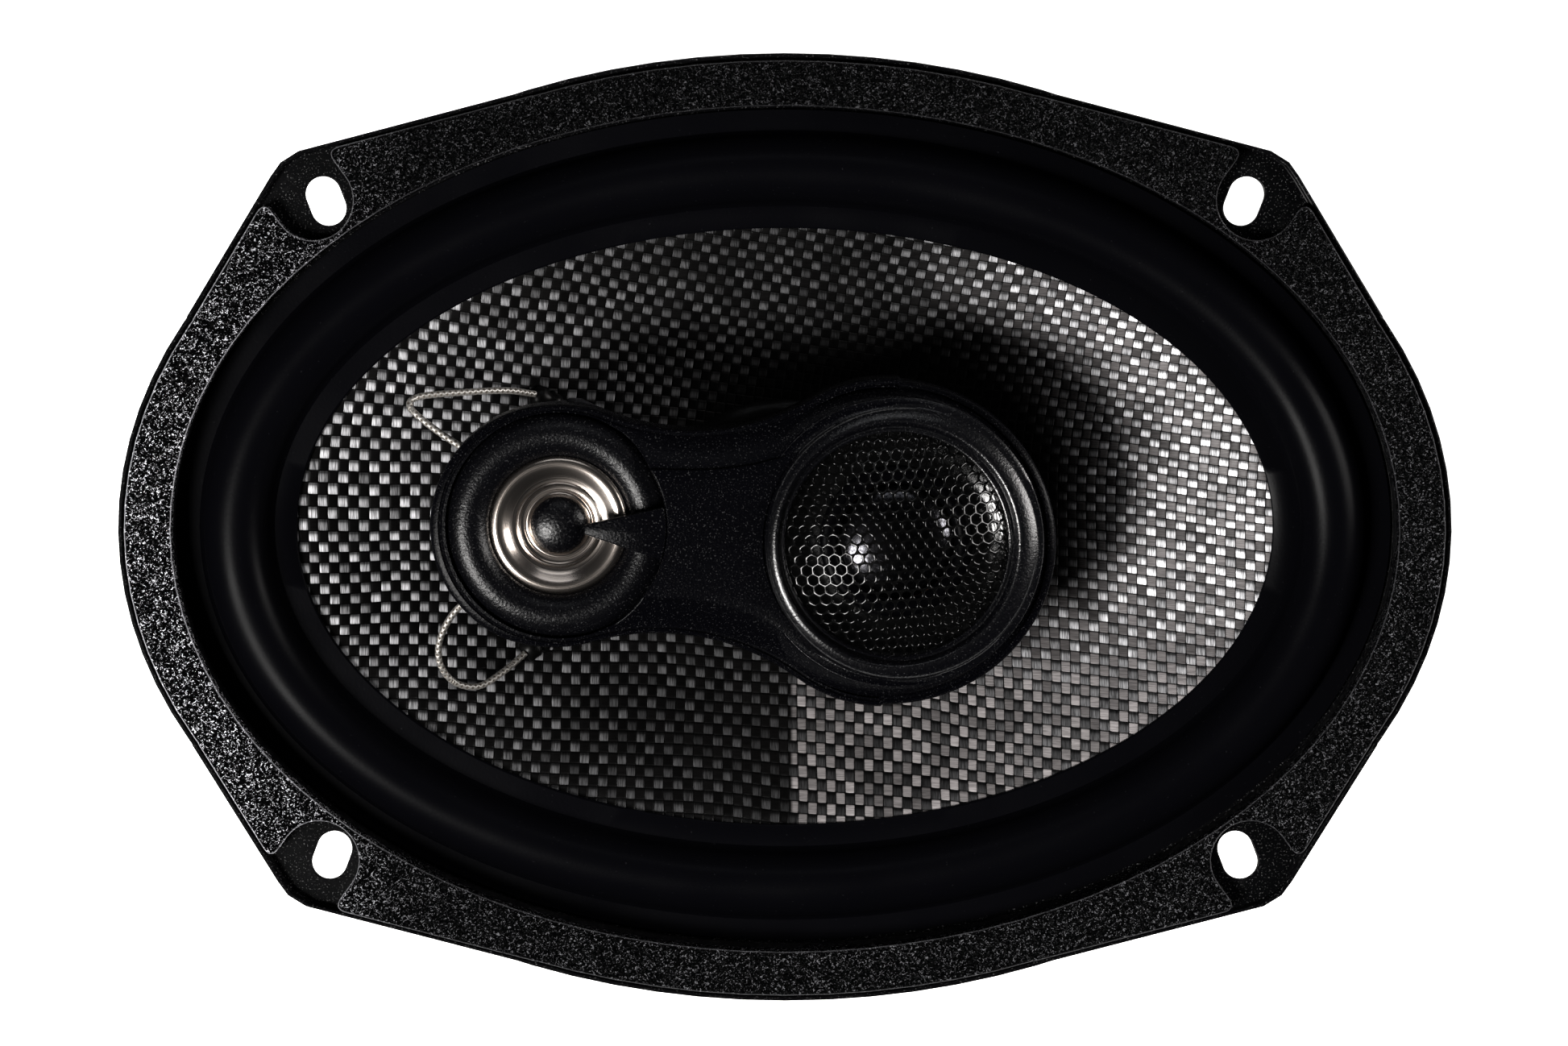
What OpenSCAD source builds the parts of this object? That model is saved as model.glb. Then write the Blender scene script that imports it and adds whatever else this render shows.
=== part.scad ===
// 6 x 9 inch three-way coaxial car speaker.
// Z points out of the front, towards the listener. X is the long axis, Y the short one.
// The origin is the centre of the mounting plane, the rear face of the flange. Millimetres.

/* [Flange and gasket] */
// half of the flange's long side
flange_a = 118; // [116:0.5:120]
// half of the flange's short side
flange_b = 84.3; // [83:0.1:86]
// sheet thickness of the flange
flange_t = 1; // [0.8:0.1:1.2]
// height of the flange's upturned lip above the mounting plane
lip_h = 3.4; // [2:0.1:4.5]
// wall of the upturned lip
lip_t = 0.8; // [0.6:0.1:1]
// distance between the mounting slots along the long axis
slot_dx = 161.7; // [160:0.1:163]
// distance between the mounting slots along the short axis
slot_dy = 116.6; // [115:0.1:118]
// width of a mounting slot
slot_w = 6.2; // [5:0.1:7]
// length of a mounting slot over its round ends
slot_l = 8.8; // [8:0.1:10]
// lean of a mounting slot away from the short axis, outwards
slot_lean = 21; // [0:1:21]
// thickness of the gasket
gasket_t = 3.8; // [2:0.1:5]
// half of the gasket opening's long side
gasket_a = 108.5; // [107:0.5:109]
// half of the gasket opening's short side
gasket_b = 75.1; // [74:0.1:76]

/* [Cone and surround] */
// half of the long side at the outside of the roll
roll_a = 103.5; // [102:0.5:104]
// half of the short side at the outside of the roll
roll_b = 70; // [69:0.5:70.5]
// width of the half roll
roll_w = 12; // [10:0.5:12.5]
// height of the half roll
roll_h = 6; // [4:0.5:7]
// thickness of the rubber
roll_t = 0.8; // [0.5:0.1:1.2]
// half of the long side of the cone's body
cone_a = 87; // [85:0.5:88]
// half of the short side of the cone's body
cone_b = 53.2; // [52:0.1:54]
// depth of the cone from its edge to its neck
cone_h = 28.5; // [24:0.5:30]
// thickness of the cone
cone_t = 0.9; // [0.6:0.1:1.5]
// outside radius of the voice coil former
coil_r = 17.3; // [16:0.1:17.5]

/* [Basket and motor] */
// thickness of the basket sheet
sheet_t = 1.2; // [1:0.1:1.5]
// width of one leg of the basket
leg_w = 14; // [10:0.5:18]
// radius of the round ledge that the legs stand on
ledge_r = 53; // [52.5:0.1:54]
// radius of the magnet ring
magnet_r = 45.2; // [44:0.1:45.2]
// height of the magnet ring
magnet_h = 17; // [12:0.5:20]
// thickness of the two motor plates
plate_t = 5; // [4:0.5:6]
// wall of the rubber boot
boot_t = 1.8; // [1.2:0.1:2.5]

/* [Pod] */
// turn of the pod on its post
pod_turn = -3.1; // [-6:0.1:6]
// radius of the pod's midrange end
mid_end_r = 21.4; // [21:0.1:22]
// radius of the pod's tweeter end
tweeter_end_r = 28.5; // [28:0.1:29]
// midrange end's centre along the pod
mid_u = -39.6; // [-41:0.1:-39]
// tweeter end's centre along the pod
end_u = 17.8; // [17:0.1:19]
// tweeter's own centre along the pod
tweeter_u = 19.5; // [19:0.1:20]
// height of the pod's underside above the mounting plane
pod_z = 3; // [3:0.5:5]
// height of the pod's centre panel above the mounting plane
panel_z = 18; // [18:0.1:18.4]
// height of the rim at the pod's midrange end
rim_z = 14.5; // [14:0.1:15]

/* [Hidden] */
$fn = 96;
// facets of an oval edge
oval_n = 96;
// the lines an oval edge is drawn with, and the room left between glued parts
glue = 0.1;

// heights of the stack, front to back
shelf_z = -3.5;
cone_z = shelf_z;
neck_z = cone_z - cone_h;
dish_top_z = shelf_z - flange_t;
dish_low_z = dish_top_z - 5.5;
ledge_z = -36;
pan_z = -46;
pan_in_r = 20;
pan_wall_r = 42;
plate_z = pan_z - sheet_t;
magnet_z = plate_z - plate_t;
back_z = magnet_z - magnet_h;
boot_z = back_z - plate_t - boot_t;
// the dish between the shelf and the ledge
dish_a = 102;
dish_b = 68.5;
dish_r = 51.5;
// inside edge of the shelf, and the wall that steps down to it
shelf_a = gasket_a + 0.9;
shelf_b = gasket_b + 0.9;

pole_r = 16.4;
gap_r = 18.5;
plate_r = 42.5;
winding_r = 18;
bolt_r = 2.9;
bolt_clear_r = 3.1;
post_r = 6;

// corners of the flange's ears, for x and y above zero
ear = [[105.3, 38.2], [90.4, 62.7], [88.6, 65.2], [85.4, 67.2], [81.2, 68.3], [44.9, 77.8]];

// pod: the waist circles that touch both ends
waist_r = 41.6;
waist_u = -19.2;
waist_v = 59.6;
pod_wall = 1.8;
base_t = 2;
tweeter_v = 0.5;
mid_well_r = 19.8;
tweeter_bore_r = 20.6;
mesh_r = 19.3;
mesh_rise = 6;
mesh_z = 17.2;
mesh_t = 0.5;

basket_rim();
basket_legs();
basket_pan();
gasket();
surround();
cone();
neck_seal();
coil_former();
voice_coil();
spider();
top_plate();
magnet();
pole_yoke();
magnet_boot();
motor_rivets();
post();
post_screw();
post_nut();
pod_base();
pod_shell();
lead_cover();
mid_frame();
mid_surround();
mid_cone();
mid_dust_cap();
mid_coil();
mid_yoke();
mid_magnet();
mid_pole_piece();
tweeter_bezel();
mesh_grille();
tweeter_faceplate();
tweeter_dome();
tweeter_surround();
tweeter_coil();
tweeter_yoke();
tweeter_magnet();
tweeter_pole_piece();
crossover_capacitors();
pod_screws();
lead_front_upper();
lead_front_lower();
lead_glue_beads();
lead_back_left();
lead_back_right();
terminal_board();
terminal_wide();
terminal_narrow();
terminal_rivets();

// ---- helpers ----

// points of an ellipse with half sides a and b
function oval(a, b) = [for (i = [0:oval_n - 1]) [a * cos(360 * i / oval_n), b * sin(360 * i / oval_n)]];

module oval_ring(a, b, wall, z0, z1) {
    translate([0, 0, z0])
        linear_extrude(z1 - z0)
            difference() {
                polygon(oval(a, b));
                polygon(oval(a - wall, b - wall));
            }
}

// a closed section of [long half side, short half side, z] points, swept round the oval
module oval_sweep(section) {
    m = len(section);
    points = [for (i = [0:oval_n - 1], p = section)
        [p[0] * cos(360 * i / oval_n), p[1] * sin(360 * i / oval_n), p[2]]];
    faces = [for (i = [0:oval_n - 1], j = [0:m - 1])
        let (i2 = (i + 1) % oval_n, j2 = (j + 1) % m,
             a = i * m + j, b = i2 * m + j, c = i2 * m + j2, d = i * m + j2)
        each [[a, c, b], [a, d, c]]];
    polyhedron(points, faces);
}

// a tube: rings of `sides` points round a smooth line through the route
function bend_at(p0, p1, p2, p3, t) =
    0.5 * (2 * p1 + (p2 - p0) * t + (2 * p0 - 5 * p1 + 4 * p2 - p3) * t * t
    + (3 * p1 - p0 - 3 * p2 + p3) * t * t * t);
function smooth_line(p, k) = let (n = len(p)) [
    for (i = [0:n - 2], s = [0:k - 1])
        bend_at(p[max(i - 1, 0)], p[i], p[i + 1], p[min(i + 2, n - 1)], s / k),
    p[n - 1]];
function unit(v) = v / norm(v);
function line_way(p, i) = unit(p[min(i + 1, len(p) - 1)] - p[max(i - 1, 0)]);
// carries the ring's side direction along the line without a twist
function sides_of(p, i, s) =
    i >= len(p) ? [] : let (w = line_way(p, i), u = unit(s - w * (s * w)))
    concat([u], sides_of(p, i + 1, u));

module tube(route, r, sides, k) {
    line = smooth_line(route, k);
    n = len(line);
    side = sides_of(line, 0, [0.2, 0.9, 0.4]);
    points = [for (i = [0:n - 1], j = [0:sides - 1])
        let (a = 360 * j / sides, w = line_way(line, i))
        line[i] + r * (side[i] * cos(a) + cross(w, side[i]) * sin(a))];
    walls = [for (i = [0:n - 2], j = [0:sides - 1])
        let (j2 = (j + 1) % sides, a = i * sides + j, b = i * sides + j2,
             c = (i + 1) * sides + j2, d = (i + 1) * sides + j)
        each [[a, c, b], [a, d, c]]];
    ends = [[for (j = [0:sides - 1]) j], [for (j = [sides - 1:-1:0]) (n - 1) * sides + j]];
    polyhedron(points, concat(walls, ends));
}

module disc(r, r_in, z0, z1) {
    translate([0, 0, z0])
        difference() {
            cylinder(h = z1 - z0, r = r);
            if (r_in > 0)
                translate([0, 0, -1])
                    cylinder(h = z1 - z0 + 2, r = r_in);
        }
}

// ---- flange ----

function ear_points(k) = let (s = [[1, 1], [-1, 1], [-1, -1], [1, -1]])
    [for (q = [0:3], i = [0:len(ear) - 1])
        let (e = ear[q % 2 == 0 ? i : len(ear) - 1 - i]) [e[0] * k * s[q][0], e[1] * k * s[q][1]]];

// outline of the flange, drawn in by d
module flange_outline(d) {
    polygon(oval(flange_a - d, flange_b - d));
    polygon(ear_points(1 - d / 108));
}

module at_slots() {
    for (sx = [-1, 1], sy = [-1, 1])
        translate([sx * slot_dx / 2, sy * slot_dy / 2, 0])
            rotate([0, 0, -sx * sy * slot_lean])
                children();
}

module slot_cut() {
    half = (slot_l - slot_w) / 2;
    translate([-slot_w / 2, -half, -1])
        cube([slot_w, 2 * half, flange_t + 2]);
    for (s = [-1, 1])
        translate([0, s * half, -1])
            cylinder(h = flange_t + 2, r = slot_w / 2);
}

// wall of the dish between two heights, as the section of a sweep
function dish_k(z) = (dish_top_z - z) / (dish_top_z - ledge_z);
function dish_at(z, d) = [dish_a + (dish_r - dish_a) * dish_k(z) - d,
                          dish_b + (dish_r - dish_b) * dish_k(z) - d, z];
function dish_section(z0, z1) = [dish_at(z0, 0), dish_at(z1, 0), dish_at(z1, sheet_t), dish_at(z0, sheet_t)];

module basket_rim() {
    color("#1b1b1d") {
        difference() {
            linear_extrude(flange_t)
                difference() {
                    flange_outline(0);
                    polygon(oval(gasket_a, gasket_b));
                }
            at_slots() slot_cut();
        }
        translate([0, 0, flange_t])
            linear_extrude(lip_h - flange_t)
                difference() {
                    flange_outline(0);
                    flange_outline(lip_t);
                }
        oval_ring(shelf_a, shelf_b, shelf_a - gasket_a, dish_top_z, 0);
        oval_ring(gasket_a, gasket_b, gasket_a - dish_a + sheet_t, dish_top_z, shelf_z);
        oval_sweep(dish_section(dish_low_z, dish_top_z));
    }
}

module basket_legs() {
    color("#1b1b1d")
        intersection() {
            oval_sweep(dish_section(ledge_z, dish_low_z));
            for (i = [0:7])
                rotate([0, 0, 22.5 + 45 * i])
                    translate([30, -leg_w / 2, ledge_z - 1])
                        cube([90, leg_w, dish_low_z - ledge_z + 2]);
        }
}

module at_motor_rivets() {
    for (i = [0:5])
        rotate([0, 0, 60 * i])
            translate([34, 0, 0])
                children();
}

module at_board_rivets() {
    for (s = [-1, 1])
        translate([s * 8, -49.6, 0])
            children();
}

module basket_pan() {
    color("#1b1b1d")
        difference() {
            rotate_extrude()
                polygon([[pan_in_r, plate_z], [pan_wall_r, plate_z], [pan_wall_r, ledge_z - sheet_t],
                         [ledge_r, ledge_z - sheet_t], [ledge_r, ledge_z], [pan_wall_r - sheet_t, ledge_z],
                         [pan_wall_r - sheet_t, pan_z], [pan_in_r, pan_z]]);
            at_motor_rivets()
                translate([0, 0, plate_z - 1])
                    cylinder(h = sheet_t + 2, r = 2.1);
            at_board_rivets()
                translate([0, 0, ledge_z - sheet_t - 1])
                    cylinder(h = sheet_t + 2, r = 1.6);
        }
}

// pocket that leaves a mounting slot free, open towards the edge
module gasket_pocket() {
    for (sx = [-1, 1], sy = [-1, 1])
        translate([sx * 82.8, sy * 58.6])
            rotate(-sx * sy * 36) {
                circle(r = 7);
                translate([-7, sy < 0 ? -40 : 0])
                    square([14, 40]);
            }
}

module gasket() {
    color("#2b2b2d")
        translate([0, 0, flange_t])
            linear_extrude(gasket_t)
                difference() {
                    flange_outline(lip_t + 0.4);
                    polygon(oval(gasket_a, gasket_b));
                    gasket_pocket();
                }
}

// ---- woofer: the parts that move, and the parts that bend with them ----

lip_low = shelf_z + 0.05;

module surround() {
    // the roll's middle line, as distance in from the outside of the roll and height
    top = [for (i = [0:10]) let (q = 18 * i)
        [roll_w / 2 - roll_w / 2 * cos(q), roll_h * sin(q)]];
    low = [for (i = [10:-1:0]) let (q = 18 * i)
        [roll_w / 2 - (roll_w / 2 - roll_t) * cos(q), roll_h * sin(q) - roll_t]];
    all = concat([[-4.4, 0]], top, [[roll_w + 4.6, 0], [roll_w + 4.6, -roll_t]], low, [[-4.4, -roll_t]]);
    color("#202022")
        oval_sweep([for (p = all) [roll_a - p[0], roll_b - p[0], lip_low + roll_t + p[1]]]);
}

cone_lip_a = roll_a - roll_w - 0.4;
cone_lip_b = roll_b - roll_w - 0.4;
cone_lip_z = shelf_z - glue;

// the cone curves a little between its edge and its neck
function cone_k(s) = s + 0.06 * sin(180 * s);
function cone_at(s, d) = [cone_a + (coil_r + 0.1 - cone_a) * s, cone_b + (coil_r + 0.1 - cone_b) * s,
                          cone_lip_z - cone_h * cone_k(s) - d];

module cone() {
    steps = [for (i = [0:6]) i / 6];
    top = [for (s = steps) cone_at(s, 0)];
    low = [for (i = [6:-1:0]) cone_at(steps[i], cone_t * 1.2)];
    color("#8f9092")
        oval_sweep(concat([[cone_lip_a, cone_lip_b, cone_lip_z]], top, low,
                          [[cone_lip_a, cone_lip_b, cone_lip_z - cone_t]]));
}

module neck_seal() {
    color("#2c2c2c")
        disc(coil_r - 0.4, post_r + 1.4, neck_z - 0.4, neck_z + 0.6);
}

module coil_former() {
    color("#a8784a")
        disc(coil_r, coil_r - 0.4, pan_z - 10, neck_z + 1);
}

module voice_coil() {
    color("#b5673a")
        disc(winding_r, coil_r, plate_z - 8, plate_z + 3);
}

module spider() {
    r_in = coil_r + 0.2;
    waves = 5;
    n = waves * 8;
    low_z = ledge_z + glue;
    t = 0.5;
    flat_r = pan_wall_r - 0.5;
    function ripple(i) = [r_in + 2 + (flat_r - r_in - 2) * i / n, low_z + 0.9 * (1 - cos(360 * waves * i / n))];
    top = [for (i = [0:n]) ripple(i) + [0, t]];
    low = [for (i = [n:-1:0]) ripple(i)];
    color("#a88f52")
        rotate_extrude()
            polygon(concat([[r_in, low_z + t]], top, [[ledge_r - 6, low_z + t], [ledge_r - 6, low_z]],
                           low, [[r_in, low_z]]));
}

// ---- motor ----

module top_plate() {
    color("#8c8e90")
        difference() {
            disc(plate_r, gap_r, magnet_z, plate_z);
            at_motor_rivets()
                translate([0, 0, magnet_z - 1])
                    cylinder(h = plate_t + 2, r = 2.1);
        }
}

module magnet() {
    color("#2f3032")
        disc(magnet_r, 23, back_z, magnet_z);
}

module pole_yoke() {
    color("#8c8e90")
        difference() {
            union() {
                disc(plate_r, 0, back_z - plate_t, back_z);
                disc(pole_r, 0, back_z, plate_z);
            }
            translate([0, 0, back_z - plate_t - 1])
                cylinder(h = 60, r = bolt_clear_r);
            translate([0, 0, back_z - plate_t - 1])
                cylinder(h = 4.2, r = 6);
        }
}

module magnet_boot() {
    r = magnet_r + 0.1;
    color("#1d1d1e")
        rotate_extrude()
            polygon([[30, boot_z], [r + boot_t - 1.5, boot_z], [r + boot_t, boot_z + 1.5],
                     [r + boot_t, magnet_z - 1.5], [r, magnet_z - 1.5],
                     [r, boot_z + boot_t], [30, boot_z + boot_t]]);
}

module motor_rivets() {
    color("#9a9c9e")
        at_motor_rivets() {
            disc(2, 0, magnet_z + 1, pan_z);
            disc(3.6, 0, pan_z, pan_z + 1.4);
        }
}

module post() {
    color("#1a1a1b")
        difference() {
            union() {
                disc(post_r, 0, plate_z, pod_z);
                disc(9, 0, pod_z - 1.8, pod_z);
            }
            translate([0, 0, plate_z - 1])
                cylinder(h = 60, r = bolt_clear_r);
        }
}

screw_head_z = back_z - plate_t + 0.2;

module post_screw() {
    color("#9a9c9e")
        difference() {
            union() {
                disc(5.4, 0, screw_head_z, back_z - plate_t + 3.2);
                disc(bolt_r, 0, back_z - plate_t + 3.2, pod_z + base_t + 4.6);
            }
            translate([0, 0, screw_head_z - 1])
                cylinder(h = 2.6, r = 2.9, $fn = 6);
        }
}

module post_nut() {
    color("#9a9c9e")
        translate([0, 0, pod_z + base_t])
            difference() {
                cylinder(h = 3.6, r = 5.2, $fn = 6);
                translate([0, 0, -1])
                    cylinder(h = 6, r = bolt_r + 0.02);
            }
}

// ---- pod ----

// everything in the pod is drawn along the pod, then turned with it
module in_pod() {
    rotate([0, 0, pod_turn])
        children();
}

module at_mid() {
    in_pod()
        translate([mid_u, 0, 0])
            children();
}

module at_tweeter() {
    in_pod()
        translate([tweeter_u, tweeter_v, 0])
            children();
}

// plan of the pod, drawn in by d
module pod_plan(d) {
    difference() {
        union() {
            translate([mid_u, 0])
                circle(r = mid_end_r - d);
            translate([end_u, 0])
                circle(r = tweeter_end_r - d);
            translate([mid_u, -22 + d])
                square([end_u - mid_u - 12, 44 - 2 * d]);
        }
        for (s = [-1, 1])
            translate([waist_u, s * waist_v])
                circle(r = waist_r + d);
    }
}

module at_pod_screws() {
    for (p = [[-20.6, 10.5], [-20.6, -10.5], [-4, 15.8], [-4, -15.8]])
        translate([p[0], p[1], 0])
            children();
}

module pod_base() {
    color("#151516")
        in_pod()
            difference() {
                translate([0, 0, pod_z])
                    linear_extrude(base_t)
                        pod_plan(0.3);
                translate([0, 0, pod_z - 1])
                    cylinder(h = base_t + 2, r = bolt_clear_r);
                at_pod_screws()
                    translate([0, 0, pod_z - 1])
                        cylinder(h = base_t + 2, r = 1.3);
            }
}

// the raised panel between the two ends, and the collar round the tweeter
module panel_plan() {
    difference() {
        union() {
            polygon([[mid_u + 12, -12.5], [-10, -13.5], [6, -20], [6, 18.5], [-10, 12], [mid_u + 12, 11]]);
            translate([tweeter_u, tweeter_v])
                circle(r = 26.4);
        }
        translate([mid_u, 0])
            circle(r = mid_well_r);
    }
}

module pod_shell() {
    low = pod_z + base_t;
    color("#19191b")
        in_pod()
            difference() {
                union() {
                    translate([0, 0, low])
                        linear_extrude(rim_z - 1.4 - low)
                            pod_plan(0);
                    translate([0, 0, rim_z - 1.4])
                        linear_extrude(1.4)
                            pod_plan(0.8);
                    translate([0, 0, rim_z])
                        linear_extrude(panel_z - rim_z)
                            panel_plan();
                }
                difference() {
                    translate([0, 0, low - 1])
                        linear_extrude(rim_z - 2 - low + 1)
                            pod_plan(pod_wall);
                    at_pod_screws()
                        cylinder(h = 40, r = 2.4);
                }
                translate([0, 0, low - 1])
                    linear_extrude(panel_z - 1.8 - low + 1)
                        difference() {
                            intersection() {
                                pod_plan(pod_wall + 2.4);
                                polygon([[mid_u + 20, -10], [-10, -11], [4, -15], [4, 14], [-10, 10], [mid_u + 20, 9]]);
                            }
                            translate([mid_u, 0])
                                circle(r = mid_well_r + 1.6);
                            for (p = [[-20.6, 10.5], [-20.6, -10.5], [-4, 15.8], [-4, -15.8]])
                                translate(p)
                                    circle(r = 2.4);
                        }
                translate([mid_u, 0, low - 1])
                    cylinder(h = 40, r = mid_well_r);
                translate([tweeter_u, tweeter_v, low - 1])
                    cylinder(h = 40, r = tweeter_bore_r);
                at_pod_screws()
                    translate([0, 0, low - 1])
                        cylinder(h = 6, r = 1);
            }
}

// wedge over the midrange's leads, from the panel in to the dust cap
module lead_cover() {
    color("#1b1b1d")
        at_mid()
            intersection() {
                translate([0, 0, panel_z - 2])
                    linear_extrude(2)
                        polygon([[4.6, -0.8], [21, -5.4], [21, 5.4], [4.6, 0.8]]);
                cylinder(h = 40, r = mid_well_r);
            }
}

// ---- midrange ----

mid_seat_z = 10.5;
mid_gap_r = 7.9;

module mid_frame() {
    low = pod_z + base_t;
    color("#222224")
        at_mid()
            rotate_extrude()
                polygon([[4, low], [14, low], [14, mid_seat_z - 1], [mid_well_r - 0.1, mid_seat_z - 1],
                         [mid_well_r - 0.1, mid_seat_z], [13, mid_seat_z], [13, low + 1], [4, low + 1]]);
}

module mid_surround() {
    r0 = 15.4;
    w = 3.4;
    base = mid_seat_z + glue;
    top = [for (i = [0:10]) [r0 + w * cos(18 * i), base + 0.6 + 3.4 * sin(18 * i)]];
    low = [for (i = [10:-1:0]) [r0 + (w - 0.6) * cos(18 * i), base + 2.8 * sin(18 * i)]];
    color("#1f1f21")
        at_mid()
            rotate_extrude()
                polygon(concat([[mid_well_r - 0.2, base + 0.6]], top, low, [[mid_well_r - 0.2, base]]));
}

module mid_cone() {
    z = mid_seat_z;
    color("#b3a999")
        at_mid()
            rotate_extrude()
                polygon([[11.8, z + 1], [11.6, z + 2.2], [11, z + 2.5], [9.4, z + 1.5], [8, z + 1.2], [7.6, z + 0.9],
                         [6.6, z + 0.9], [4.9, z + 1.5], [4.7, z + 1.2], [6.5, z + 0.6], [7.8, z + 0.6],
                         [8.2, z + 0.9], [9.6, z + 1.2], [11, z + 2.1], [11.3, z + 2], [11.5, z + 1]]);
}

module mid_dust_cap() {
    r = 4.9;
    rise = 1.7;
    ball = (r * r + rise * rise) / (2 * rise);
    base = mid_seat_z + 1.5;
    color("#222224")
        at_mid()
            translate([0, 0, base])
                difference() {
                    intersection() {
                        translate([0, 0, rise - ball])
                            sphere(r = ball);
                        cylinder(h = 10, r = r);
                    }
                    translate([0, 0, rise - ball])
                        sphere(r = ball - 0.4);
                }
}

module mid_coil() {
    color("#b5673a")
        at_mid()
            disc(7.3, 6.8, 7.9, mid_seat_z + 0.6);
}

module mid_yoke() {
    low = pod_z + base_t + 1;
    color("#8c8e90")
        at_mid()
            rotate_extrude()
                polygon([[0, low], [9.4, low], [9.4, low + 3.6], [mid_gap_r, low + 3.6],
                         [mid_gap_r, low + 1], [0, low + 1]]);
}

module mid_magnet() {
    color("#b9bcc0")
        at_mid()
            disc(6, 0, pod_z + base_t + 2, pod_z + base_t + 3.6);
}

module mid_pole_piece() {
    color("#8c8e90")
        at_mid()
            disc(6.3, 0, pod_z + base_t + 3.6, pod_z + base_t + 4.6);
}

// ---- tweeter ----

module tweeter_bezel() {
    z = panel_z;
    color("#19191b")
        at_tweeter()
            rotate_extrude()
                polygon([[tweeter_bore_r - 1, z - 3], [tweeter_bore_r - 0.05, z - 3], [tweeter_bore_r - 0.05, z],
                         [25.6, z], [25.6, z + 0.5], [24.6, z + 1.8], [23.4, z + 2.4], [22.2, z + 2],
                         [21.2, z + 0.9], [tweeter_bore_r - 1, z + 0.4]]);
}

module mesh_grille() {
    ball = (mesh_r * mesh_r + mesh_rise * mesh_rise) / (2 * mesh_rise);
    color("#101011")
        at_tweeter()
            translate([0, 0, mesh_z])
                difference() {
                    intersection() {
                        translate([0, 0, mesh_rise - ball])
                            sphere(r = ball);
                        cylinder(h = 20, r = mesh_r);
                    }
                    translate([0, 0, mesh_rise - ball])
                        sphere(r = ball - mesh_t);
                }
}

face_z = 13.2;
face_t = 1.2;
dome_r = 10.2;

module tweeter_faceplate() {
    low = face_z - face_t;
    color("#1d1d1f")
        at_tweeter()
            rotate_extrude()
                polygon([[12.6, low], [tweeter_bore_r - 0.1, low], [tweeter_bore_r - 0.1, face_z + 0.8],
                         [18.2, face_z + 0.8], [16.4, face_z], [12.6, face_z]]);
}

module tweeter_dome() {
    rise = 3.2;
    ball = (dome_r * dome_r + rise * rise) / (2 * rise);
    color("#c9cbcd")
        at_tweeter()
            translate([0, 0, face_z - 0.2])
                difference() {
                    intersection() {
                        translate([0, 0, rise - ball])
                            sphere(r = ball);
                        cylinder(h = 10, r = dome_r);
                    }
                    translate([0, 0, rise - ball])
                        sphere(r = ball - 0.4);
                }
}

module tweeter_surround() {
    r0 = dome_r + 1.7;
    base = face_z + glue;
    top = [for (i = [0:8]) [r0 + 1.5 * cos(22.5 * i), base + 0.3 + 1.3 * sin(22.5 * i)]];
    low = [for (i = [8:-1:0]) [r0 + 1.1 * cos(22.5 * i), base + 1.1 * sin(22.5 * i)]];
    color("#26262a")
        at_tweeter()
            rotate_extrude()
                polygon(concat(top, low));
}

module tweeter_coil() {
    color("#b5673a")
        at_tweeter()
            disc(dome_r, dome_r - 0.4, 9.4, face_z - 0.2);
}

// the cup stands on the pod's base and carries the faceplate on its rim
module tweeter_yoke() {
    low = pod_z + base_t;
    top = face_z - face_t;
    color("#8c8e90")
        at_tweeter()
            rotate_extrude()
                polygon([[0, low], [13.4, low], [13.4, top], [10.9, top], [10.9, low + 1.4], [0, low + 1.4]]);
}

module tweeter_magnet() {
    color("#b9bcc0")
        at_tweeter()
            disc(8.8, 0, pod_z + base_t + 1.4, 10.2);
}

module tweeter_pole_piece() {
    color("#8c8e90")
        at_tweeter()
            disc(9.4, 0, 10.2, 11.8);
}

// ---- small parts in the pod ----

module crossover_capacitors() {
    color("#27364c")
        in_pod()
            for (u = [-9.4, -15.6])
                translate([u, 6.5, pod_z + base_t + 3])
                    rotate([90, 0, 0])
                        cylinder(h = 13, r = 3);
}

module pod_screws() {
    color("#9a9c9e")
        in_pod()
            at_pod_screws() {
                disc(1, 0, pod_z, pod_z + base_t + 4.6);
                disc(2.1, 0, pod_z - 1.2, pod_z);
            }
}

// ---- leads ----

lead_r = 0.6;
// points along each lead
front_upper_route = [[-45, 23, -14.5], [-50, 24, -10], [-58, 24, -5], [-65, 23.5, -2], [-66.5, 22, -0.5],
                     [-64, 19.5, 0.5], [-59, 16, 1.4], [-54, 13, 2.2], [-50, 11, 2.3]];
front_lower_route = [[-47, -24, -14], [-51, -27, -10], [-55, -29, -7], [-59, -28, -4.5], [-61.5, -24.5, -2.5],
                     [-61.5, -20, -1], [-59, -15, 0.6], [-55, -11.5, 2], [-50.5, -9.5, 2.3]];
back_left_route = [[-7, -57, -36.2], [-7, -57.2, -33], [-7.6, -53.5, -29.3], [-8.6, -46, -28.2],
                   [-9.3, -39.5, -29.2], [-9.5, -36.2, -28], [-9.5, -34, -25.5], [-9.5, -33, -22.6]];
back_right_route = [for (p = back_left_route) [-p[0], p[1], p[2]]];

module lead_front_upper() {
    color("#8d8478")
        tube(front_upper_route, lead_r, 8, 4);
}

module lead_front_lower() {
    color("#8d8478")
        tube(front_lower_route, lead_r, 8, 4);
}

module lead_back_left() {
    color("#8d8478")
        tube(back_left_route, lead_r, 8, 4);
}

module lead_back_right() {
    color("#8d8478")
        tube(back_right_route, lead_r, 8, 4);
}

// dabs of black glue over the four joints between leads and cone
module lead_glue_beads() {
    color("#0e0e0f") {
        translate([-44, 22.3, -16])
            sphere(r = 2.2, $fn = 24);
        translate([-46, -23.2, -15.6])
            sphere(r = 2.2, $fn = 24);
    }
}

// ---- terminals ----

board_z = ledge_z - sheet_t;

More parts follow.
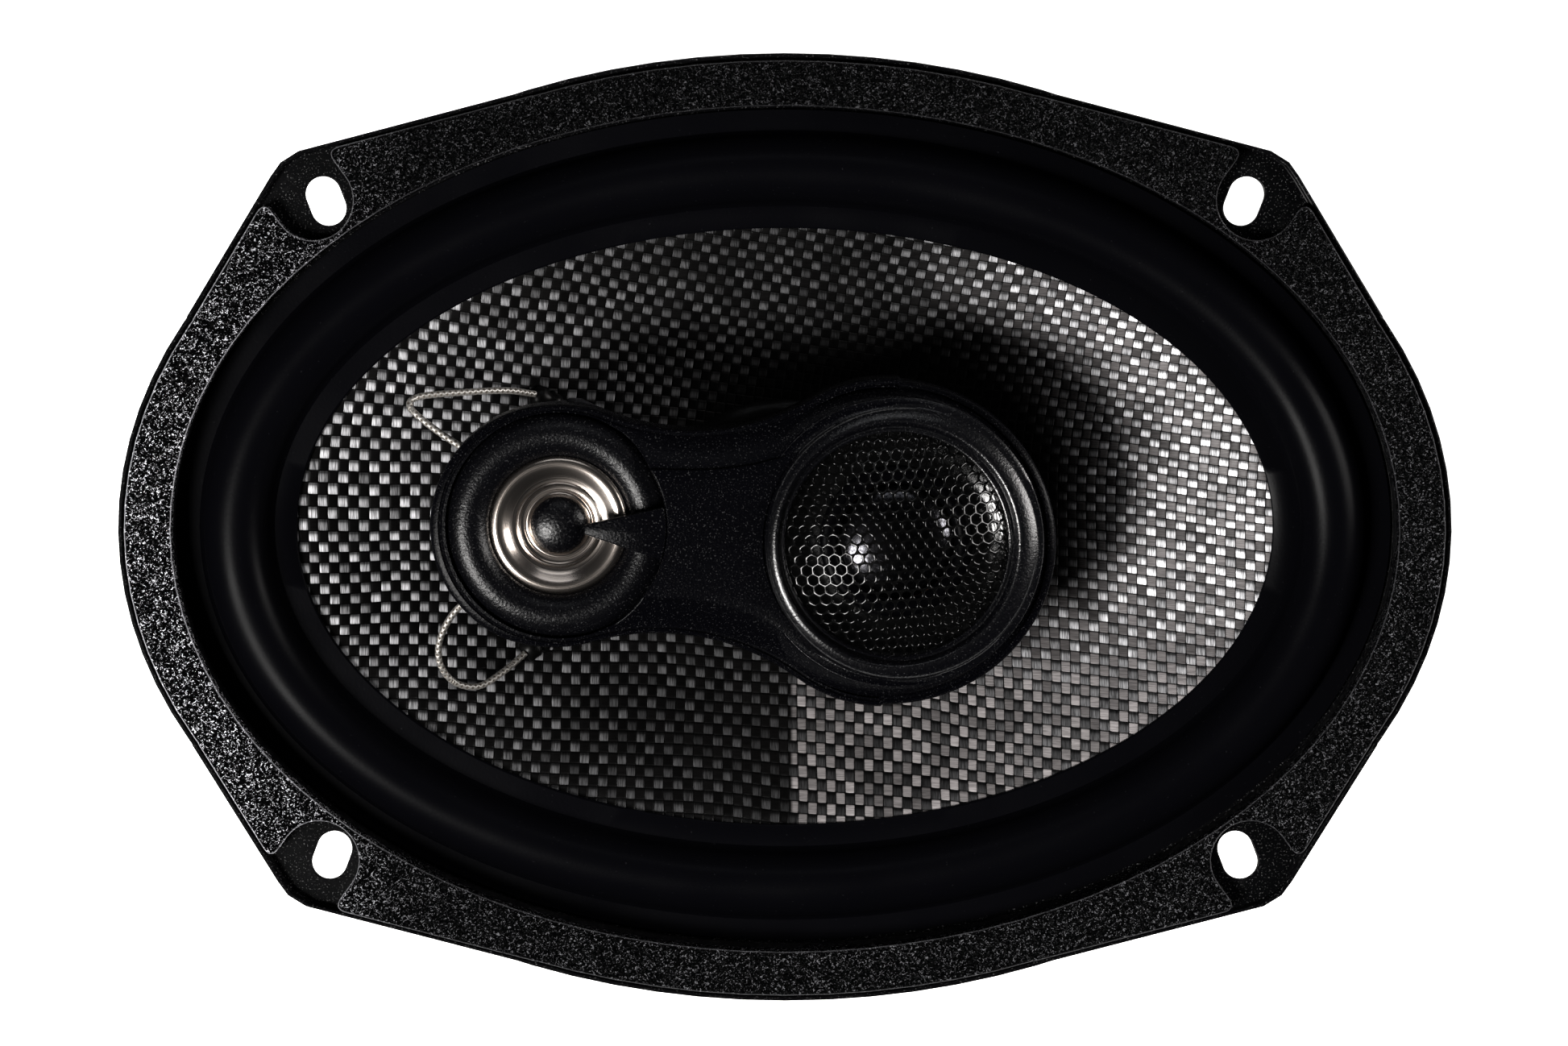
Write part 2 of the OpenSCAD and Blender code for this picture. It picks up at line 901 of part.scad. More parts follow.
module terminal_board() {
    color("#3a2c22")
        difference() {
            translate([-13, -66, board_z - 1.6])
                cube([26, 22.5, 1.6]);
            at_board_rivets()
                translate([0, 0, board_z - 3])
                    cylinder(h = 6, r = 1.6);
            for (s = [-1, 1])
                translate([s * 7, -57, board_z - 3])
                    cylinder(h = 6, r = 1.1);
        }
}

// a blade along the board, with its wire post up through the board
module terminal(width) {
    translate([-width / 2, -76, board_z - 2.4])
        cube([width, 22, 0.8]);
    translate([0, -57, board_z - 2])
        cylinder(h = 2.8, r = 1);
}

module terminal_wide() {
    color("#c4c6c8")
        translate([7, 0, 0])
            terminal(6.3);
}

module terminal_narrow() {
    color("#c4c6c8")
        translate([-7, 0, 0])
            terminal(4.8);
}

module terminal_rivets() {
    color("#9a9c9e")
        at_board_rivets() {
            disc(1.5, 0, board_z - 1.6, ledge_z);
            disc(2.6, 0, ledge_z, ledge_z + 0.8);
            disc(2.6, 0, board_z - 2.4, board_z - 1.6);
        }
}
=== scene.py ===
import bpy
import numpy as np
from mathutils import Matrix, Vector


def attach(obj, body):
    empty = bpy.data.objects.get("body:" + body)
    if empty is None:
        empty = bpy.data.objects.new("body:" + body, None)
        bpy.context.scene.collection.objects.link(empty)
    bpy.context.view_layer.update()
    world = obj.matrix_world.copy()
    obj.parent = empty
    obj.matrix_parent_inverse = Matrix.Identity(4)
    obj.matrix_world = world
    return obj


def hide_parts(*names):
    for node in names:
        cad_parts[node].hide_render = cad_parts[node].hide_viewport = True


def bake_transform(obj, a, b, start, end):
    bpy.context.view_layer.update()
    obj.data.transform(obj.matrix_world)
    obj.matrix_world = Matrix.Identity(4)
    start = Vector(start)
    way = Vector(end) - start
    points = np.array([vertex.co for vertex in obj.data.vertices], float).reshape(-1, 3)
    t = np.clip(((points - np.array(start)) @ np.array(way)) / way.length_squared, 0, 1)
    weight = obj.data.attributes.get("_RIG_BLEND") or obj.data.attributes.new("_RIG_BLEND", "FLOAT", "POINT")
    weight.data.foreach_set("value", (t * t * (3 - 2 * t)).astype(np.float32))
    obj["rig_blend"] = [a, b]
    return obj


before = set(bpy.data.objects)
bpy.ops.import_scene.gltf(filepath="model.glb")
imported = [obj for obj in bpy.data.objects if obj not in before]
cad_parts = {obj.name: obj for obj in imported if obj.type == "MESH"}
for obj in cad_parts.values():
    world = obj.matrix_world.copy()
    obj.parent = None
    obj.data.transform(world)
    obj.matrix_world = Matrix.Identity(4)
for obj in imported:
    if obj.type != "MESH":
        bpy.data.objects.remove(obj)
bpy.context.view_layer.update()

import math

import bmesh
import bpy
from bpy.props import FloatProperty, FloatVectorProperty, PointerProperty
from mathutils import Matrix, Vector

bl_info = {
    "name": "Coaxial car speaker",
    "version": (1, 0, 0),
    "blender": (4, 5, 0),
    "location": "View3D > Sidebar > Speaker",
    "description": "Builds the pieces of an oval three-way car speaker around its frame",
    "category": "Add Mesh",
}

MM = 0.001
WOOFER = "woofer"
MIDRANGE = "midrange"
TWEETER = "tweeter"
BASE = "frame"

# ---- settings ----


def length(name, about, value):
    """A size in millimetres, kept as metres."""
    return FloatProperty(name=name, description=about, default=value * MM, unit="LENGTH", precision=4)


def colour(name, about, value):
    """A linear colour."""
    return FloatVectorProperty(name=name, description=about, default=value, size=3, subtype="COLOR",
                               min=0.0, max=1.0)


class SpeakerSizes(bpy.types.PropertyGroup):
    tow: length("Tow width", "Width of one flat tow of the woven cone", 1.70)
    pebble: length("Pebble size", "Size of the gasket's pebbles", 0.9)
    mesh_pitch: length("Mesh pitch", "Distance between the holes of the tweeter's mesh", 2.0)
    mesh_hole: length("Mesh hole", "Radius of a hole in the tweeter's mesh", 0.8)
    lead: length("Lead radius", "Radius of a braided lead wire", 0.6)
    edge: length("Edge radius", "Rounding of pressed and moulded edges", 0.25)


class SpeakerColours(bpy.types.PropertyGroup):
    paint: colour("Paint", "Satin paint of the flange", (0.0010, 0.0010, 0.0012))
    board: colour("Gasket", "Pebbled skin of the gasket", (0.003, 0.003, 0.0034))
    rubber: colour("Rubber", "Rubber of the surround", (0.0009, 0.0009, 0.0013))
    plastic: colour("Plastic", "Grained moulding of the pod", (0.0006, 0.0006, 0.0010))
    silver: colour("Silver tow", "Bright tows of the cone", (0.93, 0.93, 0.96))
    warm: colour("Warm tow", "Cross tows where they catch the light", (0.92, 0.86, 0.86))
    aluminium: colour("Aluminium", "Spun cone of the midrange", (0.40, 0.355, 0.32))
    braid: colour("Braid", "Tinned braid of the leads", (0.25, 0.24, 0.225))


def sizes():
    return bpy.context.scene.speaker_sizes


def colours():
    return bpy.context.scene.speaker_colours


# ---- node helper ----


class Finish:
    """Builds one node material around a Principled shader."""

    def __init__(self, name, base=(0.5, 0.5, 0.5), roughness=0.5, metallic=0.0, **constants):
        self.material = bpy.data.materials.new(name)
        self.material.use_nodes = True
        self.tree = self.material.node_tree
        self.shader = self.tree.nodes["Principled BSDF"]
        self.put("Base Color", (*base, 1.0))
        self.put("Roughness", roughness)
        self.put("Metallic", metallic)
        for socket, value in constants.items():
            self.put(socket.replace("_", " "), value)
        self.place = self.node("ShaderNodeTexCoord").outputs["Object"]
        self.material.diffuse_color = (*base, 1.0)

    def node(self, kind, **options):
        made = self.tree.nodes.new(kind)
        for key, value in options.items():
            setattr(made, key, value)
        return made

    def put(self, socket, value):
        """Sets or links one of the shader's own sockets."""
        self.feed(self.shader.inputs[socket], value)

    def feed(self, target, value):
        """Links a socket to another, or sets it to a constant."""
        if isinstance(value, bpy.types.NodeSocket):
            self.tree.links.new(value, target)
        else:
            target.default_value = value

    def math(self, how, a, b=0.0, c=0.0):
        made = self.node("ShaderNodeMath", operation=how)
        for target, value in zip(made.inputs, (a, b, c)):
            self.feed(target, value)
        return made.outputs[0]

    def noise(self, size, detail=2.0, rough=0.5, stretch=(1, 1, 1), vector=None, warp=0.0):
        """Noise whose blobs are about `size` metres across."""
        move = self.node("ShaderNodeMapping")
        move.inputs["Scale"].default_value = [s / size for s in stretch]
        self.feed(move.inputs["Vector"], vector or self.place)
        made = self.node("ShaderNodeTexNoise")
        made.inputs["Scale"].default_value = 1.0
        made.inputs["Detail"].default_value = detail
        made.inputs["Roughness"].default_value = rough
        made.inputs["Distortion"].default_value = warp
        self.feed(made.inputs["Vector"], move.outputs[0])
        return made

    def cells(self, size, feature="F1", smooth=None):
        """Distance to the nearest cell's middle, in cells about `size` metres across."""
        move = self.node("ShaderNodeMapping")
        move.inputs["Scale"].default_value = [1 / size] * 3
        self.feed(move.inputs["Vector"], self.place)
        made = self.node("ShaderNodeTexVoronoi", feature=feature)
        made.inputs["Scale"].default_value = 1.0
        if smooth is not None:
            made.inputs["Smoothness"].default_value = smooth
        self.feed(made.inputs["Vector"], move.outputs[0])
        return made

    def span(self, value, low, high, to_low=0.0, to_high=1.0, smooth=False):
        """Maps low..high to to_low..to_high and holds it there past both."""
        made = self.node("ShaderNodeMapRange")
        if smooth:
            made.interpolation_type = "SMOOTHSTEP"
        for target, v in zip(made.inputs, (value, low, high, to_low, to_high)):
            self.feed(target, v)
        return made.outputs[0]

    def mix(self, share, a, b):
        made = self.node("ShaderNodeMix", data_type="RGBA")
        self.feed(made.inputs[0], share)
        for target, value in zip((made.inputs[6], made.inputs[7]), (a, b)):
            self.feed(target, value if isinstance(value, bpy.types.NodeSocket) else (*value, 1.0))
        return made.outputs[2]

    def bump(self, height, depth, strength=1.0):
        made = self.node("ShaderNodeBump")
        made.inputs["Strength"].default_value = strength
        made.inputs["Distance"].default_value = depth
        self.feed(made.inputs["Height"], height)
        self.put("Normal", made.outputs[0])

    def axes(self, vector=None):
        made = self.node("ShaderNodeSeparateXYZ")
        self.feed(made.inputs[0], vector or self.place)
        return made.outputs


# ---- finishes ----


def painted_steel(name="painted_steel", base=(0.006, 0.006, 0.0066), shine=0.10, glint_lift=0.02):
    """Satin black paint with a faint orange peel, worn patches, and fine specks lightened as painted glints."""
    f = Finish(name, base, 0.3, Specular_IOR_Level=shine)
    peel = f.noise(1.2 * MM, 3).outputs[0]
    f.put("Roughness", f.span(f.noise(14 * MM, 4).outputs[0], 0.3, 0.7, 0.24, 0.36))
    worn = f.span(f.noise(6 * MM, 5, 0.7).outputs[0], 0.62, 0.8, 0.0, 0.1)
    # painted glints: fine specks are lightened in the colour in place of the sparkle off the paint's grain
    painted_glints = f.span(f.noise(0.34 * MM, 2.0, 0.6).outputs[0], 0.62, 0.68)
    f.put("Base Color", f.mix(f.math("MAXIMUM", worn, painted_glints), base, tuple(c + glint_lift for c in base)))
    f.bump(peel, 0.03 * MM, 0.6)
    return f.material


def edge_on(f, start=0.95, end=0.70):
    """1 where the surface turns away from the front, on a rounded edge."""
    facing = f.axes(f.node("ShaderNodeTexCoord").outputs["Normal"])[2]
    return f.math("MULTIPLY", f.span(facing, end - 0.5, end, 0.0, 1.0, True),
                  f.span(facing, end, start, 1.0, 0.0, True))


def pebbled_skin():
    """Leathery pebbles with creases between them, as pressed into foam board."""
    f = Finish("pebbled_skin", colours().board, 0.22, Specular_IOR_Level=0.014)
    size = sizes().pebble
    crease = f.cells(size * 1.15, "SMOOTH_F1", 0.35).outputs["Distance"]
    worm = f.noise(size * 1.1, 3.0, 0.55, warp=1.6).outputs[0]
    fine = f.noise(size * 0.35, 2.0).outputs[0]
    height = f.math("MULTIPLY_ADD", worm, 1.5, f.math("MULTIPLY", crease, -0.9))
    height = f.math("MULTIPLY_ADD", fine, 0.25, height)
    f.bump(height, 0.6 * MM, 1.0)
    f.put("Roughness", f.span(worm, 0.35, 0.65, 0.26, 0.16))
    # painted glints: the pebble tops and rounded edges are lightened in the colour, strongest on the left side
    # where the light falls, weaker on the right and towards the top
    x, y, _ = f.axes()
    painted_glint_side = f.math("MAXIMUM", f.span(x, -112 * MM, -62 * MM, 1.0, 0.09, True),
                 f.span(x, 60 * MM, 112 * MM, 0.0, 0.11, True))
    painted_glint_side = f.math("MULTIPLY", painted_glint_side, f.span(y, -80 * MM, 80 * MM, 1.5, 0.7))
    spots = f.span(f.noise(size * 0.46, 2.0, 0.6, warp=1.2).outputs[0], 0.60, 0.66)
    glint = f.math("MULTIPLY", f.math("MAXIMUM", spots, f.math("MULTIPLY", edge_on(f), 0.35)), painted_glint_side)
    f.put("Base Color", f.mix(glint, (0.0004, 0.0004, 0.0005), (0.80, 0.80, 0.86)))
    return f.material


def smooth_rubber(name="smooth_rubber", rough=(0.27, 0.36), tone=None, grain=0.02):
    f = Finish(name, tone or colours().rubber, 0.5, Specular_IOR_Level=0.02)
    f.put("Roughness", f.span(f.noise(20 * MM, 4).outputs[0], 0.35, 0.65, *rough))
    dust = f.noise(0.55 * MM, 1).outputs[0]
    base = tone or tuple(colours().rubber)
    f.put("Base Color", f.mix(f.span(dust, 0.74, 0.82), base, tuple(2.0 * c + 0.003 for c in base)))
    f.bump(f.noise(0.5 * MM, 2).outputs[0], grain * MM, 0.6)
    return f.material


def grained_plastic(name="grained_plastic", size=0.28, depth=0.035, rough=0.23, tone=None, shine=0.035):
    """Spark-eroded black moulding: fine grain that sparkles a little."""
    base = tuple(tone or colours().plastic)
    f = Finish(name, base, rough, Specular_IOR_Level=shine)
    grain = f.noise(size * MM, 3, 0.6).outputs[0]
    pits = f.cells(size * 1.6 * MM).outputs["Distance"]
    f.bump(f.math("MULTIPLY_ADD", pits, 0.6, grain), depth * MM, 0.9)
    f.put("Roughness", f.span(grain, 0.3, 0.7, rough - 0.04, rough + 0.06))
    sparkle = f.span(f.noise(size * 0.9 * MM, 0).outputs[0], 0.70, 0.80)
    f.put("Base Color", f.mix(sparkle, base, tuple(2.0 * c + 0.016 for c in base)))
    return f.material


def bright_metal(name, base, roughness, ring=None, line=0.12, scratch=0.25):
    """Plated or spun metal. `ring` is the centre of its turning marks, in millimetres."""
    f = Finish(name, base, roughness, 1.0)
    if ring is not None:
        x, y, _ = f.axes()
        dx = f.math("SUBTRACT", x, ring[0] * MM)
        dy = f.math("SUBTRACT", y, ring[1] * MM)
        out = f.math("SQRT", f.math("ADD", f.math("MULTIPLY", dx, dx), f.math("MULTIPLY", dy, dy)))
        joined = f.node("ShaderNodeCombineXYZ")
        f.feed(joined.inputs[0], out)
        marks = f.noise(line * MM, 2, 0.6, vector=joined.outputs[0]).outputs[0]
    else:
        marks = f.noise(line * 4 * MM, 3, 0.6, stretch=(1, 6, 1)).outputs[0]
    f.put("Roughness", f.span(marks, 0.3, 0.7, roughness - 0.07, roughness + 0.10))
    f.put("Base Color", f.mix(f.span(marks, 0.35, 0.65), tuple(0.86 * c for c in base), base))
    f.bump(marks, 0.02 * MM, scratch)
    return f.material


def woven_tows():
    """Plain weave of flat tows. The tows across catch the light on one side of the cone only."""
    f = Finish("woven_tows", (0.4, 0.4, 0.4), 0.34, Specular_IOR_Level=0.04)
    tow = sizes().tow
    # the cloth is pressed into the cone, so its lines wander a little
    wander = f.noise(34 * MM, 1.0, 0.4)
    shift = f.node("ShaderNodeVectorMath", operation="MULTIPLY_ADD")
    f.feed(shift.inputs[0], wander.outputs["Color"])
    shift.inputs[1].default_value = [2.6 * MM] * 3
    f.feed(shift.inputs[2], f.place)
    x, y, _ = f.axes(shift.outputs[0])
    upper = f.math("MAXIMUM", y, 0.0)
    lean = f.math("MULTIPLY", f.math("MULTIPLY", upper, upper), -1.9)
    slant = f.math("MULTIPLY_ADD", upper, 2.0, 0.075)
    u = f.math("DIVIDE", f.math("ADD", x, lean), tow)
    v = f.math("DIVIDE", f.math("MULTIPLY_ADD", x, slant, y), 1.08 * tow)
    iu, iv = f.math("FLOOR", u), f.math("FLOOR", v)
    fu, fv = f.math("SUBTRACT", u, iu), f.math("SUBTRACT", v, iv)
    odd = f.math("MODULO", f.math("ABSOLUTE", f.math("ADD", iu, iv)), 2.0)
    over = f.math("GREATER_THAN", odd, 0.5)

    def pad(across, along):
        """Height of a tow where it passes over: flat with round edges, and humped along its length."""
        edge = f.math("MULTIPLY_ADD", across, 2.0, -1.0)
        edge = f.math("MULTIPLY", edge, edge)
        run = f.math("MULTIPLY_ADD", along, 2.0, -1.0)
        run = f.math("MULTIPLY", run, run)
        edge = f.math("MULTIPLY", edge, edge)
        return f.math("MULTIPLY", f.math("SUBTRACT", 1.0, f.math("MULTIPLY", edge, edge)),
                      f.math("SUBTRACT", 1.0, f.math("MULTIPLY", run, run)))

    height = f.node("ShaderNodeMix", data_type="FLOAT")
    f.feed(height.inputs[0], over)
    f.feed(height.inputs[2], pad(fv, fu))
    f.feed(height.inputs[3], pad(fu, fv))
    height = height.outputs[0]

    ox, oy, _ = f.axes()
    # painted light: the long tows (along Y) are painted silver where they catch the light at both ends of the
    # cone, and dull between them
    left = f.math("MULTIPLY", f.span(ox, -88 * MM, -12 * MM, 0.54, 0.10, True),
                  f.span(oy, 4 * MM, 46 * MM, 1.0, 0.45))
    right = f.span(ox, 12 * MM, 70 * MM, 0.0, 0.80, True)
    low_right = f.math("MULTIPLY", f.span(oy, -34 * MM, -6 * MM, 0.70, 0.0, True),
                       f.span(ox, 0.0, 30 * MM, 0.0, 1.0))
    low = f.span(oy, -46 * MM, -2 * MM, 0.28, 1.0, True)
    painted_light_y = f.math("MULTIPLY", f.math("ADD", left, right), low)
    painted_light_y = f.math("MULTIPLY", painted_light_y, f.math("SUBTRACT", 1.0, low_right))
    # painted light: the cross tows (along X) are painted dark on the left and pale where lit on the right, with
    # a sudden change at the crease below the pod
    far = f.span(ox, 18 * MM, 74 * MM, 0.002, 0.13, True)
    crease = f.math("MULTIPLY", f.span(ox, 1.0 * MM, 1.6 * MM, 0.0, 0.20),
                    f.span(oy, -30 * MM, -20 * MM, 1.0, 0.0, True))
    painted_light_x = f.math("MAXIMUM", far, crease)
    # the pod keeps the light off the cloth on its upper right
    dx, dy = f.math("SUBTRACT", ox, 19.5 * MM), f.math("ADD", oy, 0.5 * MM)
    away = f.math("SQRT", f.math("MULTIPLY_ADD", dx, dx, f.math("MULTIPLY", dy, dy)))
    open_air = f.span(away, 29 * MM, 48 * MM, 0.0, 1.0, True)
    below = f.span(oy, -24 * MM, -8 * MM, 1.0, 0.0, True)
    lit = f.math("MAXIMUM", f.math("MAXIMUM", open_air, below), f.span(ox, -40 * MM, -15 * MM, 1.0, 0.0, True))
    # and painted shadow darkens the way down to the neck above the pod
    out = f.math("SQRT", f.math("MULTIPLY_ADD", ox, ox, f.math("MULTIPLY", oy, oy)))
    neck_shadow = f.math("MULTIPLY", f.span(out, 22 * MM, 30 * MM, 1.0, 0.0, True), f.span(oy, 8 * MM, 15 * MM))
    lit = f.math("MULTIPLY", lit, f.math("SUBTRACT", 1.0, neck_shadow))
    painted_light_x, painted_light_y = f.math("MULTIPLY", painted_light_x, lit), f.math("MULTIPLY", painted_light_y, lit)
    cell = f.node("ShaderNodeCombineXYZ")
    f.feed(cell.inputs[0], iu)
    f.feed(cell.inputs[1], iv)
    odds = f.node("ShaderNodeTexWhiteNoise", noise_dimensions="2D")
    f.feed(odds.inputs[0], cell.outputs[0])
    vary = f.span(odds.outputs[0], 0.0, 1.0, 0.35, 1.3)
    # a tow is brightest on the side of its hump that faces the light
    hump = f.math("MULTIPLY_ADD", fv, 2.0, -0.65)
    hump = f.math("MULTIPLY_ADD", f.math("MULTIPLY", hump, hump), -1.1, 1.1)
    vary_y = f.math("MULTIPLY", vary, f.math("MAXIMUM", hump, 0.15))
    fibres_y = f.span(f.noise(0.16 * MM, 2, 0.6, stretch=(1, 0.05, 0.05)).outputs[0], 0.35, 0.65, 0.25, 1.35)
    fibres_x = f.span(f.noise(0.16 * MM, 2, 0.6, stretch=(0.05, 1, 0.05)).outputs[0], 0.35, 0.65, 0.6, 1.2)
    silver = f.mix(f.math("MULTIPLY", painted_light_y, f.math("MULTIPLY", fibres_y, vary_y)), (0.0015, 0.0015, 0.0015),
                   tuple(colours().silver))
    warm = f.mix(f.math("MULTIPLY", painted_light_x, f.math("MULTIPLY", fibres_x, vary)), (0.001, 0.001, 0.001),
                 tuple(colours().warm))
    cloth = f.mix(over, warm, silver)
    shade = f.span(height, 0.14, f.math("MULTIPLY_ADD", over, -0.14, 0.60), 0.0, 1.0, True)
    f.put("Base Color", f.mix(shade, (0.0008, 0.0008, 0.0008), cloth))
    f.bump(height, 0.22 * MM, 0.9)
    f.put("Roughness", f.span(height, 0.0, 1.0, 0.55, 0.30))
    return f.material


def braided(name="braided_tinsel"):
    """Plaited strands, in the lead's own UV: U along it, V round it."""
    f = Finish(name, colours().braid, 0.42, 0.65)
    uv = f.node("ShaderNodeUVMap")
    uv.uv_map = "along"
    u, v, _ = f.axes(uv.outputs[0])

    def strand(way):
        turn = f.math("MULTIPLY_ADD", v, 3.0 * way, f.math("MULTIPLY", u, 1.0))
        return f.math("ABSOLUTE", f.math("SINE", f.math("MULTIPLY", turn, math.pi)))

    plait = f.math("MAXIMUM", strand(1.0), strand(-1.0))
    f.bump(plait, 0.14 * MM, 1.0)
    f.put("Base Color", f.mix(f.span(plait, 0.45, 0.95), (0.10, 0.085, 0.07), tuple(colours().braid)))
    return f.material


def cloth_finish(name, base, size=0.5):
    """Fine resin-dipped weave for the spider and felt."""
    f = Finish(name, base, 0.82)
    x, y, _ = f.axes()
    wave = [f.math("ABSOLUTE", f.math("SINE", f.math("MULTIPLY", a, math.pi / (size * MM)))) for a in (x, y)]
    knit = f.math("MULTIPLY", *wave)
    f.bump(knit, 0.10 * MM, 0.8)
    patch = f.noise(9 * MM, 4).outputs[0]
    f.put("Base Color", f.mix(f.math("MULTIPLY", knit, patch), tuple(0.55 * c for c in base), base))
    return f.material


def sleeve(name, base, roughness, speckle=0.0, size=0.8, shine=0.5):
    """Glossy or sintered solids: a base with soft mottling."""
    f = Finish(name, base, roughness, Specular_IOR_Level=shine)
    mottle = f.noise(size * MM, 5, 0.65).outputs[0]
    f.put("Base Color", f.mix(f.span(mottle, 0.35, 0.7), tuple(c * (1 - speckle) for c in base), base))
    f.put("Roughness", f.span(mottle, 0.3, 0.7, roughness - 0.05, roughness + 0.08))
    f.bump(mottle, 0.03 * MM, 0.5)
    return f.material


def coil_wire(name="coil_wire"):
    """Enamelled turns, one above the other."""
    f = Finish(name, (0.50, 0.17, 0.06), 0.28, 0.9)
    z = f.axes()[2]
    turns = f.math("ABSOLUTE", f.math("SINE", f.math("MULTIPLY", z, math.pi / (0.3 * MM))))
    f.bump(turns, 0.08 * MM, 1.0)
    f.put("Base Color", f.mix(turns, (0.16, 0.05, 0.02), (0.55, 0.19, 0.07)))
    return f.material


_made = {}


def finish(name):
    """The named finish, made once."""
    if name not in _made:
        _made[name] = FINISHES[name]()
    return _made[name]


# ---- mesh helpers ----


def eased(t):
    """0 to 1 with a soft start and a soft end."""
    t = min(1.0, max(0.0, t))
    return t * t * (3 - 2 * t)


def arc(middle, long, high, degrees):
    """Profile points on an ellipse round `middle`, in millimetres."""
    return [(middle[0] + long * math.cos(math.radians(a)), middle[1] + high * math.sin(math.radians(a)))
            for a in degrees]


def spun(points, centre=(0.0, 0.0), steps=128, closed=True):
    """A profile of (radius, height) points in millimetres, spun round the Z axis through `centre`."""
    bm = bmesh.new()
    verts = [bm.verts.new((r * MM, 0.0, z * MM)) for r, z in points]
    pairs = list(zip(verts, verts[1:] + verts[:1])) if closed else list(zip(verts, verts[1:]))
    edges = [bm.edges.new(pair) for pair in pairs]
    bmesh.ops.spin(bm, geom=verts + edges, cent=(0, 0, 0), axis=(0, 0, 1), dvec=(0, 0, 0), angle=2 * math.pi,
                   steps=steps, use_merge=True, use_duplicate=False)
    bmesh.ops.remove_doubles(bm, verts=bm.verts, dist=1e-7)
    bmesh.ops.dissolve_degenerate(bm, dist=1e-8, edges=bm.edges)
    bmesh.ops.recalc_face_normals(bm, faces=bm.faces)
    bmesh.ops.translate(bm, vec=(centre[0] * MM, centre[1] * MM, 0), verts=bm.verts)
    return bm


def ovalled(bm, short):
    """Presses a round shape into an oval: `short` gives the short half side for a long one, in metres."""
    for v in bm.verts:
        r = math.hypot(v.co.x, v.co.y)
        if r > 1e-9:
            v.co.y *= short(r) / r
    return bm


def copied(node):
    """The node's own shape with its loose triangles joined."""
    bm = bmesh.new()
    bm.from_mesh(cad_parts[node].data)
    bmesh.ops.remove_doubles(bm, verts=bm.verts, dist=2e-6)
    return bm


def softened(bm, radius, segments=2, angle=32.0):
    """Rounds every edge sharper than `angle` degrees."""
    sharp = [e for e in bm.edges if len(e.link_faces) == 2 and e.calc_face_angle(0) > math.radians(angle)]
    bmesh.ops.bevel(bm, geom=sharp, offset=radius, offset_type="OFFSET", affect="EDGES", segments=segments,
                    profile=0.5, material=-1, clamp_overlap=False)
    return bm


def level_loops(bm, z):
    """Closed outlines, as lists of points, of the faces that lie level at height `z`."""
    lying = [f for f in bm.faces if all(abs(v.co.z - z) < 1e-6 for v in f.verts)]
    held = set(lying)
    rim = {}
    for f in lying:
        for loop in f.loops:
            if sum(1 for g in loop.edge.link_faces if g in held) == 1:
                rim[loop.vert] = loop.link_loop_next.vert
    lines = []
    while rim:
        start = at = next(iter(rim))
        line = []
        while at in rim:
            line.append(at.co.xy.copy())
            at = rim.pop(at)
        if at is start and len(line) > 2:
            lines.append(line)
    return lines


def filleted(line, reach, sharp=50.0, steps=7):
    """Rounds the sharp corners of a closed outline, `reach` back along it on both sides."""
    count = len(line)

    def walk(k, way):
        left, at = reach, line[k]
        while True:
            k = (k + way) % count
            step = (line[k] - at).length
            if step >= left:
                return at + (line[k] - at) * (left / step), (k - way) % count
            left, at = left - step, line[k]

    cut, drop = {}, set()
    for k in range(count):
        a, b = line[k] - line[k - 1], line[(k + 1) % count] - line[k]
        if abs(a.angle_signed(b)) > math.radians(sharp):
            (before, i), (after, j) = walk(k, -1), walk(k, 1)
            while i != (j + 1) % count:
                drop.add(i)
                i = (i + 1) % count
            cut[k] = [before * (1 - t) ** 2 + line[k] * 2 * t * (1 - t) + after * t * t
                      for t in (n / steps for n in range(steps + 1))]
    made = []
    for k in range(count):
        if k in cut:
            made += cut[k]
        elif k not in drop:
            made.append(line[k])
    return made


def joined(*parts):
    """Several bmeshes as one."""
    whole = bmesh.new()
    for part in parts:
        held = bpy.data.meshes.new("part")
        part.to_mesh(held)
        part.free()
        whole.from_mesh(held)
        bpy.data.meshes.remove(held)
    return whole


def piece(name, bm, finishes, body, nodes=(), smooth=35.0, lids=False):
    """Makes the object, gives it its finishes, ties it to its body and hides the nodes it stands for.
    A piece that bends between two bodies is given none here. `lids` keeps level faces evenly shaded."""
    mesh = bpy.data.meshes.new(name)
    bm.edges.index_update()
    bm.normal_update()
    rims = [e.index for e in bm.edges if lids and len(e.link_faces) == 2
            and (abs(e.link_faces[0].normal.z) > 0.9999) != (abs(e.link_faces[1].normal.z) > 0.9999)]
    bm.to_mesh(mesh)
    bm.free()
    for f in [finishes] if isinstance(finishes, str) else finishes:
        mesh.materials.append(finish(f))
    mesh.shade_smooth()
    mesh.set_sharp_from_angle(angle=math.radians(smooth))
    for index in rims:
        mesh.edges[index].use_edge_sharp = True
    made = bpy.data.objects.new(name + "_made", mesh)
    bpy.context.scene.collection.objects.link(made)
    if body:
        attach(made, body)
    if nodes:
        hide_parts(*nodes)
    return made


def walled(made, thickness):
    """Gives an open skin its wall, inwards."""
    wall = made.modifiers.new("wall", "SOLIDIFY")
    wall.thickness = thickness * MM
    wall.offset = -1.0
    wall.use_even_offset = True


def dress(node, name):
    """Puts a finish on a node that keeps its own shape."""
    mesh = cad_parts[node].data
    mesh.materials.clear()
    mesh.materials.append(finish(name))


def bends(made, near, far, share):
    """Lets a piece give between two bodies; `share` is how far each point follows the second one."""
    low, high = Vector(made.bound_box[0]), Vector(made.bound_box[6])
    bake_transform(made, near, far, start=tuple(low), end=tuple(high))
    held = made.data.attributes["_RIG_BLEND"]
    for i, v in enumerate(made.data.vertices):
        held.data[i].value = min(1.0, max(0.0, share(v.co)))
    return made


# ---- sizes shared by several pieces, in millimetres ----

POD_TURN = math.radians(-3.1)
MID = (-39.6, 0.0)
TWEET = (19.5, 0.5)
MID_END_R = 21.4
BIG_END, BIG_END_R = (17.8, 0.0), 28.5
WAIST, WAIST_R = (-19.2, 59.6), 41.6
